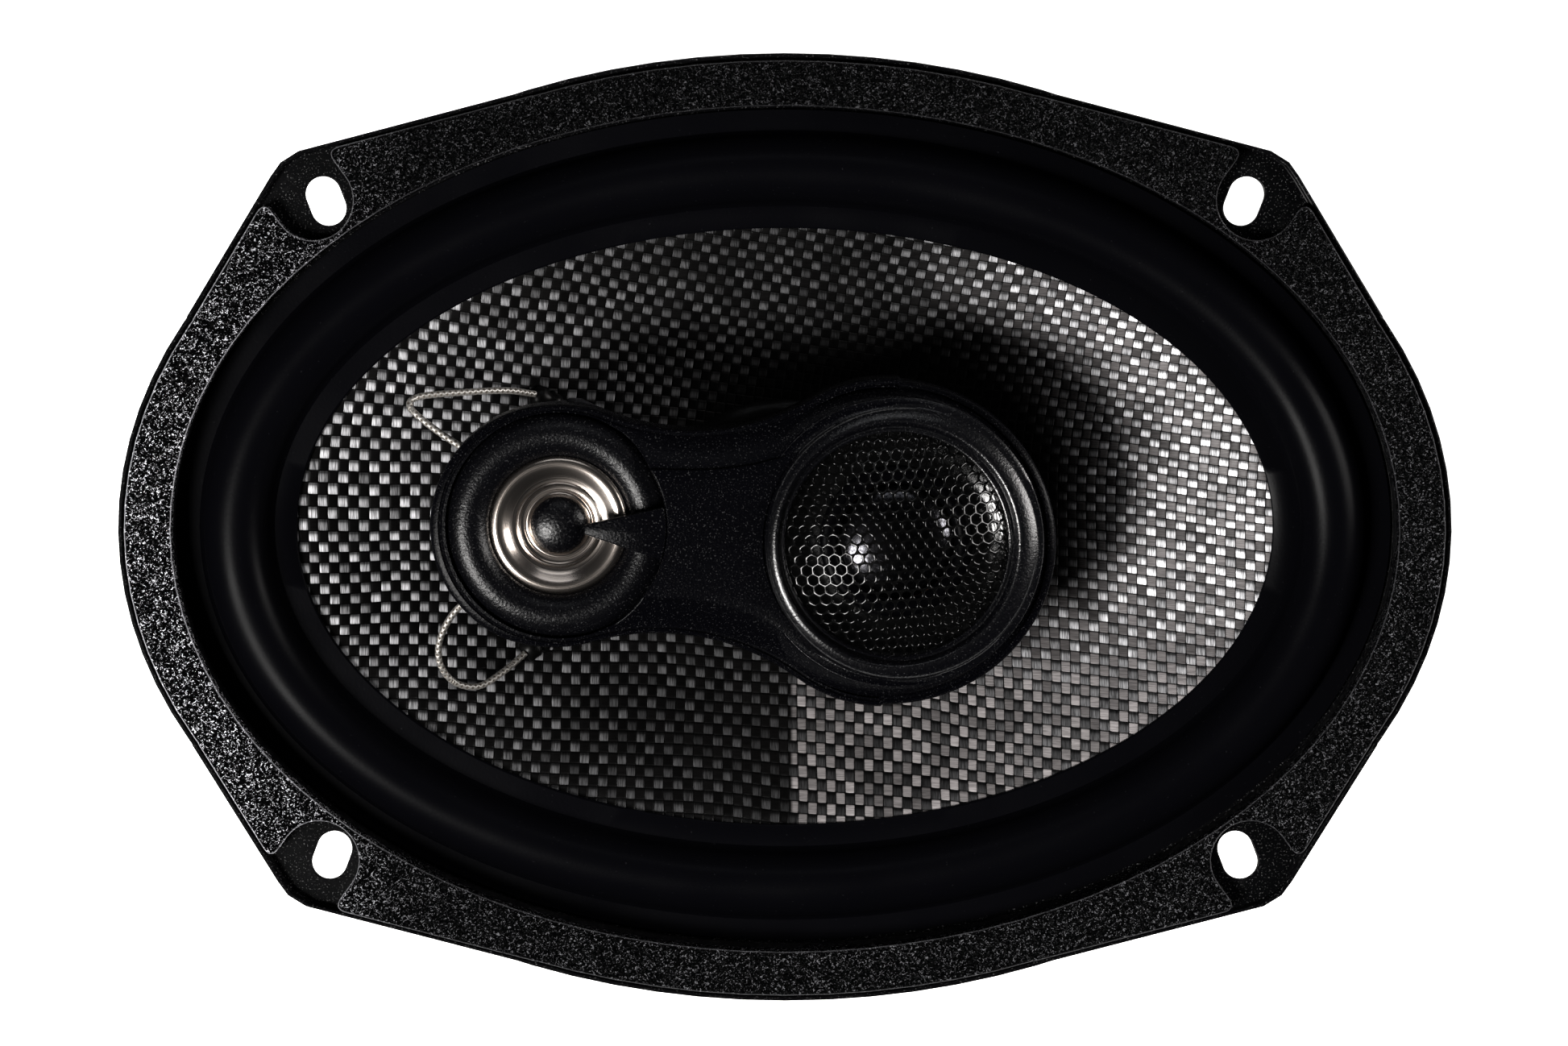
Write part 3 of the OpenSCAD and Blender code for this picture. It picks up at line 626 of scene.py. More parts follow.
# where the waist's arc meets each end, as the cosine and sine on the end's circle
MEETS_MID, MEETS_BIG = (0.3238, 0.9461), (0.5274, 0.8496)
DECK_REACH = 23.4  # how near the panel comes to the tweeter's centre
SHORT_ROLL = 33.5  # how much shorter the roll's short half side is than its long one
CONE_OUT, CONE_IN = 87.0, 17.4
CONE_SHORT, CONE_LOSS = 53.2, 35.8
CONE_TOP, CONE_DEEP = -3.6, 28.5
FLOOR_Z = -85.0


def in_pod(bm):
    """Turns a piece drawn along the pod to where the pod points."""
    bmesh.ops.rotate(bm, cent=(0, 0, 0), matrix=Matrix.Rotation(POD_TURN, 3, "Z"), verts=bm.verts)
    return bm


def pod_point(u, v):
    """Where a point drawn along the pod lies, in metres."""
    x, y = u * math.cos(POD_TURN) - v * math.sin(POD_TURN), u * math.sin(POD_TURN) + v * math.cos(POD_TURN)
    return x * MM, y * MM


def pod_centre(point):
    """The same in millimetres, for the pieces that are spun round it."""
    return tuple(c / MM for c in pod_point(*point))


def out_from(centre, co):
    """Distance of a point from an upright axis, in millimetres."""
    return math.hypot(co.x / MM - centre[0], co.y / MM - centre[1])


def even_short(gap):
    return lambda r: r - gap * MM


def cone_short(r):
    """Short half side of the cone where its long one is r: the oval turns round at the neck."""
    share = (CONE_OUT * MM - r) / ((CONE_OUT - CONE_IN) * MM)
    return (CONE_SHORT - CONE_LOSS * min(1.0, max(0.0, share))) * MM if share > 0 else r - 33.8 * MM


def cone_height(r):
    """Height of the cone's face where its long half side is r, with a slight curve."""
    share = (CONE_OUT - r) / (CONE_OUT - CONE_IN)
    return CONE_TOP - CONE_DEEP * (share + 0.06 * math.sin(math.pi * share))


def along_oval(co, gap):
    """Long half side of the oval through a point, for ovals whose short side is `gap` less."""
    a = max(abs(co.x), 1e-6) + 0.02
    for _ in range(24):
        b = a - gap
        f = (co.x / a) ** 2 + (co.y / b) ** 2 - 1.0
        slope = -2 * co.x ** 2 / a ** 3 - 2 * co.y ** 2 / b ** 3
        a = max(gap + 1e-4, a - f / slope)
    return a


# ---- leads ----


def smooth_line(points, steps=4):
    """Points of a smooth curve through the given ones."""
    pts = [Vector(p) for p in points]
    pts = [2 * pts[0] - pts[1]] + pts + [2 * pts[-1] - pts[-2]]
    line = []
    for i in range(1, len(pts) - 2):
        a, b, c, d = pts[i - 1:i + 3]
        for k in range(steps):
            t = k / steps
            line.append(0.5 * (2 * b + (c - a) * t + (2 * a - 5 * b + 4 * c - d) * t * t
                               + (3 * b - a - 3 * c + d) * t ** 3))
    return [p * MM for p in line + [pts[-2]]]


def tube(line, radius, sides=12):
    """A ring carried along the line by extruding it, with a UV map that runs along it."""
    bm = bmesh.new()
    ring = bmesh.ops.create_circle(bm, cap_ends=True, radius=radius, segments=sides)["verts"]
    way = [(b - a).normalized() for a, b in zip(line, line[1:])]
    way = [way[0]] + [(a + b).normalized() for a, b in zip(way, way[1:])] + [way[-1]]
    bmesh.ops.rotate(bm, cent=(0, 0, 0), verts=ring,
                     matrix=Vector((0, 0, 1)).rotation_difference(way[0]).to_matrix())
    bmesh.ops.translate(bm, vec=line[0], verts=ring)
    face = bm.faces[:]
    for i in range(1, len(line)):
        made = bmesh.ops.extrude_face_region(bm, geom=face)["geom"]
        ring = [g for g in made if isinstance(g, bmesh.types.BMVert)]
        if i > 1:
            bmesh.ops.delete(bm, geom=face, context="FACES_ONLY")
        face = [g for g in made if isinstance(g, bmesh.types.BMFace)]
        bmesh.ops.translate(bm, vec=line[i] - line[i - 1], verts=ring)
        bmesh.ops.rotate(bm, cent=line[i], verts=ring,
                         matrix=way[i - 1].rotation_difference(way[i]).to_matrix())
    bmesh.ops.recalc_face_normals(bm, faces=bm.faces)
    lay = bm.loops.layers.uv.new("along")
    run = [0.0]
    for a, b in zip(line, line[1:]):
        run.append(run[-1] + (b - a).length)
    for f in bm.faces:
        seats = []
        for loop in f.loops:
            i = min(range(len(line)), key=lambda k: (loop.vert.co - line[k]).length_squared)
            arm = way[i].orthogonal().normalized()
            out = (loop.vert.co - line[i]).normalized()
            turn = math.atan2(way[i].dot(arm.cross(out)), arm.dot(out)) / (2 * math.pi)
            seats.append((loop, run[i] / (1.1 * MM), turn))
        first = seats[0][2]
        for loop, along, turn in seats:
            loop[lay].uv = (along, turn - round(turn - first))
    return bm


def lead(name, points, near, far, node):
    """A braided lead from the body it starts on to the body it ends on."""
    line = smooth_line(points)
    radius = sizes().lead
    made = piece(name, tube(line, radius), "braided_tinsel", None, [node], 60)
    run = [0.0]
    for a, b in zip(line, line[1:]):
        run.append(run[-1] + (b - a).length)

    def share(co):
        i = min(range(len(line)), key=lambda k: (co - line[k]).length_squared)
        return eased(run[i] / run[-1])

    bends(made, near, far, share)


FRONT_UPPER = [(-45, 23, -14.5), (-50, 24, -10), (-58, 24, -5), (-65, 23.5, -2), (-66.5, 22, -0.5),
               (-64, 19.5, 0.5), (-59, 16, 1.4), (-54, 13, 2.2), (-50, 11, 2.3)]
FRONT_LOWER = [(-47, -24, -14), (-51, -27, -10), (-55, -29, -7), (-59, -28, -4.5), (-61.5, -24.5, -2.5),
               (-61.5, -20, -1), (-59, -15, 0.6), (-55, -11.5, 2), (-50.5, -9.5, 2.3)]
BACK_LEFT = [(-7, -57, -36.2), (-7, -57.2, -33), (-7.6, -53.5, -29.3), (-8.6, -46, -28.2),
             (-9.3, -39.5, -29.2), (-9.5, -36.2, -28), (-9.5, -34, -25.5), (-9.5, -33, -22.6)]


# name, place, size, watts and tint; each lamp points at the origin
LAMPS = (
    ("lamp_left", (-0.60, -0.34, 0.88), (0.30, 0.42), 28.0, (1.0, 0.98, 0.96)),
    ("lamp_right", (1.0, 0.20, 0.34), (0.36, 0.8), 20.0, (1.0, 0.97, 0.95)),
    ("lamp_top", (0.0, 0.9, 0.9), (0.7, 0.25), 1.0, (0.95, 0.97, 1.0)),
)

# ---- operators: one for each piece or group ----


class SPEAKER_OT_stage(bpy.types.Operator):
    """Sets the camera, the pale floor and the soft lamps"""
    bl_idname = "speaker.stage"
    bl_label = "Camera, floor and lamps"

    def execute(self, context):
        scene = context.scene
        tilt, distance = math.radians(6), 0.9
        aim = Vector((-0.00015, 0.0012, 0.0))
        eye = bpy.data.cameras.new("camera")
        eye.lens, eye.sensor_width = 116.4, 36.0
        camera = bpy.data.objects.new("camera", eye)
        camera.location = aim + distance * Vector((0, math.sin(tilt), math.cos(tilt)))
        camera.rotation_euler = (-tilt, 0, 0)
        scene.collection.objects.link(camera)
        scene.camera = camera
        scene.view_settings.view_transform = "Standard"
        world = bpy.data.worlds.new("room")
        world.use_nodes = True
        world.node_tree.nodes["Background"].inputs[0].default_value = (0.9, 0.95, 1.0, 1.0)
        world.node_tree.nodes["Background"].inputs[1].default_value = 0.02
        scene.world = world
        bm = bmesh.new()
        bmesh.ops.create_grid(bm, x_segments=1, y_segments=1, size=2.0)
        bmesh.ops.translate(bm, vec=(0, 0, FLOOR_Z * MM), verts=bm.verts)
        mesh = bpy.data.meshes.new("floor")
        bm.to_mesh(mesh)
        bm.free()
        pale = Finish("pale_floor", (0.95, 0.95, 0.95), 0.9)
        pale.put("Emission Color", (1, 1, 1, 1))
        pale.put("Emission Strength", 1.0)
        mesh.materials.append(pale.material)
        floor = bpy.data.objects.new("floor", mesh)
        scene.collection.objects.link(floor)
        for name, spot, size, watts, tint in LAMPS:
            light = bpy.data.lights.new(name, "AREA")
            light.shape, light.size, light.size_y = "RECTANGLE", *size
            light.energy, light.color = watts, tint
            lamp = bpy.data.objects.new(name, light)
            lamp.location = spot
            lamp.rotation_euler = (-Vector(spot)).to_track_quat("-Z", "Y").to_euler()
            scene.collection.objects.link(lamp)
        return {"FINISHED"}


class SPEAKER_OT_leads(bpy.types.Operator):
    """Four braided leads: two on the front of the cone and two behind it"""
    bl_idname = "speaker.leads"
    bl_label = "Leads"

    def execute(self, context):
        lead("lead_front_upper", FRONT_UPPER, WOOFER, BASE, "lead_front_upper")
        lead("lead_front_lower", FRONT_LOWER, WOOFER, BASE, "lead_front_lower")
        lead("lead_back_left", BACK_LEFT, BASE, WOOFER, "lead_back_left")
        lead("lead_back_right", [(-x, y, z) for x, y, z in BACK_LEFT], BASE, WOOFER, "lead_back_right")
        return {"FINISHED"}


class SPEAKER_OT_basket(bpy.types.Operator):
    """Pressed basket: rim with its slots, legs and pan"""
    bl_idname = "speaker.basket"
    bl_label = "Basket"

    def execute(self, context):
        for name in ("basket_rim", "basket_legs", "basket_pan"):
            bm = softened(copied(name), sizes().edge)
            paint = "flange_paint" if name == "basket_rim" else "painted_steel"
            piece(name, bm, paint, BASE, [name], 28, True)
        return {"FINISHED"}


class SPEAKER_OT_gasket(bpy.types.Operator):
    """Pebbled gasket lying on the rim inside its lip"""
    bl_idname = "speaker.gasket"
    bl_label = "Gasket"

    def execute(self, context):
        board = copied("gasket")
        bmesh.ops.remove_doubles(board, verts=board.verts, dist=0.01 * MM)
        high, low = max(v.co.z for v in board.verts), min(v.co.z for v in board.verts)
        rims = []
        for line in level_loops(board, high):
            line = [p for k, p in enumerate(line) if (p - line[k - 1]).length > 0.02 * MM]
            rims.append(filleted(line, 2.6 * MM))
        board.free()
        bm = bmesh.new()
        for line in rims:
            verts = [bm.verts.new((p.x, p.y, low)) for p in line]
            for k, v in enumerate(verts):
                bm.edges.new((verts[k - 1], v))
        bmesh.ops.triangle_fill(bm, use_beauty=True, use_dissolve=False, edges=bm.edges[:])
        made = bmesh.ops.extrude_face_region(bm, geom=bm.faces[:])["geom"]
        raised = [g for g in made if isinstance(g, bmesh.types.BMVert)]
        bmesh.ops.translate(bm, vec=(0, 0, high - low), verts=raised)
        bmesh.ops.recalc_face_normals(bm, faces=bm.faces)
        bm = softened(bm, 0.4 * MM, 3, 40)
        piece("gasket", bm, "pebbled_skin", BASE, ["gasket"], 60, True)
        return {"FINISHED"}


class SPEAKER_OT_surround(bpy.types.Operator):
    """Half roll of smooth rubber between the basket's shelf and the cone"""
    bl_idname = "speaker.surround"
    bl_label = "Surround"

    def execute(self, context):
        roll, w, h, t, low = 97.5, 6.0, 6.0, 0.8, -3.45
        top = arc((roll, low + t), w, h, range(8, 173, 6))
        under = arc((roll, low), w - t, h - 0.05, range(172, 7, -6))
        lip, neck = roll + w, roll - w
        outer = [(lip + 4.3, low + 0.2), (lip + 4.3, low + t), (lip + 0.7, low + t)]
        inner = [(neck - 0.7, low + t), (neck - 4.3, low + t), (neck - 4.6, low + t - 0.25), (neck - 4.6, low)]
        profile = outer + top + inner + under + [(lip + 0.3, low)]
        bm = ovalled(spun(profile, steps=176), even_short(SHORT_ROLL))
        made = piece("surround", bm, "smooth_rubber", None, ["surround"], 40)
        bends(made, BASE, WOOFER,
              lambda co: eased((lip - along_oval(co, SHORT_ROLL * MM) / MM) / (lip - neck)))
        return {"FINISHED"}


class SPEAKER_OT_cone(bpy.types.Operator):
    """Woven cone with its pressed rim, and the black glue round its neck"""
    bl_idname = "speaker.cone"
    bl_label = "Cone"

    def execute(self, context):
        rows = [CONE_OUT - (CONE_OUT - CONE_IN) * i / 22 for i in range(23)]
        top = [(r, cone_height(r)) for r in rows]
        under = [(r, z - 1.0) for r, z in reversed(top)]
        bm = ovalled(spun([(91.0, -3.65)] + top + under + [(91.0, -4.45)], steps=160), cone_short)
        piece("cone", bm, "woven_tows", WOOFER, ["cone"], 50)
        ring = [(17.5, cone_height(17.5) + 0.02), (17.7, -29.9), (18.6, -29.0), (20.2, -28.9), (22.0, -29.3)]
        ring += [(r, cone_height(r) + lift)
                 for r, lift in ((23.6, 0.15), (24.2, 0.02), (24.0, -0.4), (20.0, -0.4))]
        bm = ovalled(spun(ring, steps=96), cone_short)
        for v in bm.verts:
            if v.co.z > -30 * MM:
                v.co.z += 0.15 * MM * math.sin(v.co.x * 500) * math.cos(v.co.y * 700)
        piece("neck_glue", bm, "black_glue", WOOFER, (), 60)
        return {"FINISHED"}


class SPEAKER_OT_glue(bpy.types.Operator):
    """Dabs of black glue that hold the front leads to the cone"""
    bl_idname = "speaker.glue"
    bl_label = "Glue dabs"

    def execute(self, context):
        dabs = []
        for x, y, z, size in ((-44, 22.3, -16.0, 2.2), (-41.8, 21.4, -17.2, 1.9), (-39.2, 20.2, -18.4, 1.5),
                              (-46, -23.2, -15.6, 2.2), (-43.7, -22.3, -16.8, 1.7)):
            bm = bmesh.new()
            bmesh.ops.create_icosphere(bm, subdivisions=3, radius=size * MM)
            for v in bm.verts:
                lump = 1 + 0.13 * math.sin(v.co.x * 2600 + x) * math.cos(v.co.y * 2300 + y)
                v.co = Vector((v.co.x * lump, v.co.y * lump, v.co.z * 0.85))
            bmesh.ops.translate(bm, vec=(x * MM, y * MM, z * MM), verts=bm.verts)
            dabs.append(bm)
        piece("lead_glue_beads", joined(*dabs), "black_glue", WOOFER, ["lead_glue_beads"], 80)
        return {"FINISHED"}


class SPEAKER_OT_motor(bpy.types.Operator):
    """Magnet, plates, boot, coil, spider and the post through them"""
    bl_idname = "speaker.motor"
    bl_label = "Motor"

    def execute(self, context):
        def ring(name, low, high, inner, outer, edge, finishing, slot, body=BASE):
            bm = spun([(inner, low), (outer - edge, low), (outer, low + edge), (outer, high - edge),
                       (outer - edge, high), (inner, high)], steps=96)
            piece(name, bm, finishing, body, [name])

        ring("magnet", -69.2, -52.2, 23.0, 45.2, 0.7, "ferrite", "ferrite")
        ring("top_plate", -52.2, -47.2, 18.5, 42.5, 0.5, "zinc_steel", "motor_steel")
        yoke = [(3.1, -71.0), (3.1, -47.2), (16.0, -47.2), (16.4, -47.6), (16.4, -68.6), (17.0, -69.2),
                (42.0, -69.2), (42.5, -69.7), (42.5, -73.7), (42.0, -74.2), (6.4, -74.2), (6.0, -73.8),
                (6.0, -71.0)]
        piece("pole_yoke", spun(yoke, steps=96), "zinc_steel", BASE, ["pole_yoke"])
        boot = [(30.0, -76.0), (45.4, -76.0), (46.5, -75.6), (47.1, -74.5), (47.1, -71.0), (46.8, -70.6),
                (46.8, -58.0), (47.1, -57.6), (47.1, -54.2), (46.7, -53.7), (45.3, -53.7), (45.3, -74.2),
                (30.0, -74.2), (29.9, -75.1)]
        piece("magnet_boot", spun(boot, steps=112), "boot_rubber", BASE, ["magnet_boot"])
        ring("coil_former", -56.0, -31.0, 16.9, 17.3, 0.1, "former_paper", "former_paper", WOOFER)
        ring("voice_coil", -55.2, -44.2, 17.3, 18.0, 0.15, "copper_wire", "copper_wire", WOOFER)
        ring("neck_seal", -32.4, -31.4, 7.4, 16.9, 0.1, "felt", "felt", WOOFER)

        def wave(r):
            return -35.9 + 0.9 * (1 - math.cos(2 * math.pi * 5 * (r - 17.5) / 25.5)) * (r < 43)

        rows = [17.5 + 0.5 * i for i in range(60)]
        top = [(r, wave(r) + 0.5) for r in rows]
        under = [(r, wave(r)) for r in reversed(rows)]
        made = piece("spider", spun(top + under, steps=112), "spider_cloth", None,
                     ["spider"], 60)
        bends(made, BASE, WOOFER, lambda co: eased((43.0 - co.xy.length / MM) / 25.0))
        bm = spun([(3.1, -47.2), (5.7, -47.2), (6.0, -46.9), (6.0, -4.0), (7.2, -0.6), (8.6, 1.2), (9.0, 1.6),
                   (9.0, 3.0), (3.1, 3.0)], steps=64)
        piece("post", bm, "plain_plastic", BASE, ["post"])
        for node in ("motor_rivets", "post_screw", "post_nut", "pod_screws"):
            bm = softened(copied(node), 0.3 * MM, 2, 40)
            piece(node, bm, "zinc_plate", BASE, [node], 30)
        return {"FINISHED"}


class SPEAKER_OT_terminals(bpy.types.Operator):
    """Terminal board with a wide and a narrow blade"""
    bl_idname = "speaker.terminals"
    bl_label = "Terminals"

    def execute(self, context):
        for node, coat, slot, edge in (
                ("terminal_board", "board_laminate", "board_laminate", 0.2),
                ("terminal_wide", "tinned_brass", "tinned_brass", 0.12),
                ("terminal_narrow", "tinned_brass", "tinned_brass", 0.12),
                ("terminal_rivets", "zinc_plate", "plated_steel", 0.25)):
            piece(node, softened(copied(node), edge * MM, 2, 40), coat, BASE, [node], 30)
        return {"FINISHED"}


def waist_edge(u, inset):
    """Half width of the pod at u, drawn in by `inset`: two round ends joined by hollow sides."""
    small, big = MID_END_R - inset, BIG_END_R - inset
    if u < MID[0] + small * MEETS_MID[0]:
        return math.sqrt(max(0.0, small ** 2 - (u - MID[0]) ** 2))
    if u > BIG_END[0] - big * MEETS_BIG[0]:
        return math.sqrt(max(0.0, big ** 2 - (u - BIG_END[0]) ** 2))
    return WAIST[1] - math.sqrt((WAIST_R + inset) ** 2 - (u - WAIST[0]) ** 2)


def through(points, u):
    """Height at u of the smooth line through the points."""
    line = [Vector((a, b, 0)) for a, b in points]
    fine = [p / MM for p in smooth_line(line, 6)]
    for a, b in zip(fine, fine[1:]):
        if u <= b.x:
            return a.y + (b.y - a.y) * (u - a.x) / max(1e-6, b.x - a.x)
    return fine[-1].y


def pod_rim():
    """Side wall of the pod with its rounded, grooved rim, made from four arcs."""
    bm = bmesh.new()
    big_x, big_y = BIG_END[0] - BIG_END_R * MEETS_BIG[0], BIG_END_R * MEETS_BIG[1]
    mid_x, mid_y = MID[0] + MID_END_R * MEETS_MID[0], MID_END_R * MEETS_MID[1]
    for start, centre, angle, steps in (
            ((big_x, -big_y), BIG_END, 243.66, 244),
            ((mid_x, mid_y), MID, 217.78, 110),
            ((big_x, big_y), WAIST, -50.73, 40),
            ((mid_x, -mid_y), (WAIST[0], -WAIST[1]), -50.73, 40)):
        seed = bm.verts.new((start[0] * MM, start[1] * MM, 5 * MM))
        bmesh.ops.spin(bm, geom=[seed], cent=(centre[0] * MM, centre[1] * MM, 0), axis=(0, 0, 1),
                       dvec=(0, 0, 0), angle=math.radians(angle), steps=steps, use_duplicate=False)
    bmesh.ops.remove_doubles(bm, verts=bm.verts, dist=0.2 * MM)
    big, small = Vector(BIG_END), Vector(MID)
    for v in bm.verts:  # the big end stands out a little where the waist begins
        out = v.co.xy / MM - big
        turn = abs(math.degrees(math.atan2(out.y, out.x)))
        if 88.4 < turn < 123:
            grow = 1 + 0.4 / BIG_END_R * min(1.0, (123 - turn) / 20)
            v.co.xy = (big + out * grow) * MM
    bmesh.ops.edgeloop_fill(bm, edges=bm.edges)
    deck = bm.faces[:]
    made = bmesh.ops.extrude_face_region(bm, geom=deck)["geom"]
    deck = [g for g in made if isinstance(g, bmesh.types.BMFace)]
    raised = [g for g in made if isinstance(g, bmesh.types.BMVert)]
    bmesh.ops.translate(bm, vec=(0, 0, 7.5 * MM), verts=raised)
    for inset, rise in ((0.12, 0.45), (0.28, 0.35), (0.45, 0.15), (0.12, -0.30), (0.16, 0.0), (0.10, 0.28),
                        (0.27, 0.05)):
        bmesh.ops.inset_region(bm, faces=deck, thickness=inset * MM, depth=0.0, use_even_offset=True,
                               use_boundary=True)
        bmesh.ops.translate(bm, vec=(0, 0, rise * MM), verts=deck[0].verts)
    walls = bmesh.ops.extrude_face_region(bm, geom=deck)["geom"]
    sunk = [g for g in walls if isinstance(g, bmesh.types.BMVert)]
    bmesh.ops.translate(bm, vec=(0, 0, -7.8 * MM), verts=sunk)
    lids = [f for f in bm.faces if len(f.verts) > 40]
    bmesh.ops.delete(bm, geom=lids, context="FACES_ONLY")
    for v in bm.verts:  # the rim is broadest at the two far ends
        near, out = v.co.xy / MM - small, v.co.xy / MM - big
        if near.x < 7:
            wide = min(1.0, (7 - near.x) / 14) * min(1.0, max(0.0, near.length - 19.9) / 1.2)
            v.co.xy += Vector((-1.15, -0.4)) * wide * MM
        elif out.x > 0:
            v.co.x += 1.2 * out.x / BIG_END_R * min(1.0, max(0.0, out.length - 27.0) / 1.2) * MM
    bmesh.ops.recalc_face_normals(bm, faces=bm.faces)
    return bm


# the panel's upper and lower edges, as points along the pod
UPPER_LINE = [(-34, 10.9), (-24.8, 11.0), (-14.4, 11.5), (-6, 12.9), (2.2, 15.9), (8, 19.5), (14, 23.5)]
LOWER_LINE = [(-34, -11.3), (-24.9, -11.3), (-14.6, -11.4), (-8, -12.5), (-1.8, -14.7), (7.9, -21.0),
              (14, -24.5)]


def pod_deck():
    """Panel between the two ends with its edge lines, and the shoulders that fall from it to the rim."""
    across = ([("upper", k / 8) for k in range(9)] + [("edge", 0.0), ("edge", 0.03)]
              + [("panel", k / 10) for k in range(1, 10)] + [("edge", 0.97), ("edge", 1.0)]
              + [("lower", k / 8) for k in reversed(range(9))])
    bm = bmesh.new()
    bmesh.ops.create_grid(bm, x_segments=56, y_segments=len(across) - 1, size=1.0)
    for v in bm.verts:
        along = (v.co.x + 1) / 2
        zone, k = across[round((1 - v.co.y) / 2 * (len(across) - 1))]
        u = -20.0 + 20 * along
        for _ in range(9):
            high, low = through(UPPER_LINE, u), through(LOWER_LINE, u)
            if zone == "upper":
                y = waist_edge(u, 1.45) * (1 - k) + (high + 0.25) * k
            elif zone == "lower":
                y = -waist_edge(u, 1.45) * (1 - k) + (low - 0.25) * k
            else:
                y = high * (1 - k) + low * k
            well = 19.0 if zone in ("panel", "edge") else 19.9 - 0.9 * k
            left = MID[0] + math.sqrt(max(0.0, well ** 2 - y * y))
            reach = DECK_REACH ** 2 - (y - TWEET[1]) ** 2
            right = TWEET[0] - math.sqrt(reach) if reach > 0 else 8.0
            if zone in ("upper", "lower"):
                right = min(right, 7.0) if k > 0.6 else 7.0
            u = left + (right - left) * along
        if zone in ("upper", "lower"):
            z = 13.5 + 2.8 * (k + 0.35 * k * (1 - k)) - 0.35 * max(0.0, (u - 3.0) / 4.0) ** 2
        else:
            z = 17.55 + 0.25 * math.sin(math.pi * k) + (0.0 if zone == "panel" or 0 < k < 1 else -0.15)
        v.co = Vector((u * MM, y * MM, z * MM))
    well = [e for e in bm.edges if e.is_boundary and all(
        (w.co.xy / MM - Vector(MID)).length < 19.95 for w in e.verts)]
    made = bmesh.ops.extrude_edge_only(bm, edges=well)["geom"]
    for g in made:
        if isinstance(g, bmesh.types.BMVert):
            g.co.z -= 4.6 * MM
    bmesh.ops.bevel(bm, geom=well, offset=0.4 * MM, offset_type="OFFSET", affect="EDGES", segments=3,
                    profile=0.5, material=-1)
    bmesh.ops.recalc_face_normals(bm, faces=bm.faces)
    return bm


def pod_collar():
    """Slope from the rim up to the tweeter's bezel; it leans over to the bezel's own centre."""
    bm = spun([(27.1, 13.45), (26.7, 14.4), (26.2, 15.5), (25.6, 16.5), (25.0, 17.1), (24.0, 17.2),
               (24.0, 12.0), (26.8, 12.0)], BIG_END, 144)
    for v in bm.verts:
        r = (v.co.xy / MM - Vector(BIG_END)).length
        lean = min(1.0, max(0.0, (27.1 - r) / 1.5))
        v.co.x += 1.7 * lean * MM
        v.co.y += 0.5 * lean * MM
    return bm


def tilted(bm, centre, low, high, slope=0.05):
    """Leans a ring a little so that it stands higher at its lower left; points under `low` stay."""
    for v in bm.verts:
        rise = min(1.0, max(0.0, (v.co.z / MM - low) / (high - low)))
        lean = -0.80 * (v.co.x - centre[0] * MM) - 0.60 * (v.co.y - centre[1] * MM)
        v.co.z += slope * rise * lean
    return bm


class SPEAKER_OT_pod(bpy.types.Operator):
    """Pod across the cone: rim, raised panel, collar and base"""
    bl_idname = "speaker.pod"
    bl_label = "Pod"

    def execute(self, context):
        body = in_pod(joined(pod_rim(), pod_deck(), pod_collar()))
        piece("pod_shell", body, "grained_plastic", BASE, ["pod_shell"], 42)
        piece("pod_base", softened(copied("pod_base"), 0.3 * MM, 2, 40), "plain_plastic", BASE,
              ["pod_base"], 30)
        wedge = copied("lead_cover")
        middle = Vector(pod_point(*MID))
        for v in wedge.verts:
            out = v.co.xy - middle
            if out.length > 18.8 * MM:
                v.co.xy = middle + out.normalized() * 18.85 * MM
        piece("lead_cover", softened(wedge, 0.28 * MM, 2, 40), "grained_cover", BASE,
              ["lead_cover"], 30)
        return {"FINISHED"}


class SPEAKER_OT_midrange(bpy.types.Operator):
    """Midrange: grained roll, spun aluminium cone and dust cap"""
    bl_idname = "speaker.midrange"
    bl_label = "Midrange"

    def execute(self, context):
        centre = pod_centre(MID)
        top = arc((15.9, 11.25), 3.85, 3.25, range(0, 181, 7))
        under = arc((15.9, 10.75), 3.3, 2.9, range(175, -1, -7))
        bm = spun(top + [(11.7, 11.2), (11.7, 10.75)] + under + [(19.7, 10.7)], centre, 112)
        made = piece("mid_surround", bm, "grained_rubber", None, ["mid_surround"], 50)
        bends(made, BASE, MIDRANGE, lambda co: eased((19.4 - out_from(centre, co)) / 7.2))
        line = [(12.3, 11.45), (12.3, 11.9), (12.05, 12.5), (11.6, 12.85), (11.0, 13.0), (10.4, 12.92),
                (9.7, 12.6), (8.9, 12.1), (8.2, 11.72), (7.6, 11.6), (7.42, 11.82), (7.2, 11.88), (7.0, 11.75),
                (6.9, 11.4), (6.5, 11.2), (6.2, 11.2), (6.1, 11.36), (5.9, 11.36), (5.8, 11.2), (5.55, 11.22),
                (5.3, 11.45), (4.8, 11.95)]
        back = [(4.7, 11.6), (5.3, 11.1), (5.7, 10.95), (6.6, 10.95), (7.2, 11.2), (7.7, 11.3), (8.6, 11.6),
                (9.8, 12.25), (11.0, 12.65), (11.7, 12.45), (12.0, 11.45)]
        piece("mid_cone", spun(line + back, centre, 128), "spun_aluminium", MIDRANGE,
              ["mid_cone"], 40)
        cap = [(4.9 * math.sin(math.radians(a)), 11.95 + 1.75 * math.cos(math.radians(a)) ** 1.3)
               for a in range(0, 90, 7)]
        shell = [(0.001, 13.7)] + cap[1:] + [(4.95, 11.9), (4.6, 11.9), (3.2, 12.9), (0.001, 13.35)]
        piece("mid_dust_cap", spun(shell, centre, 72), "grained_cap", MIDRANGE,
              ["mid_dust_cap"], 60)
        return {"FINISHED"}


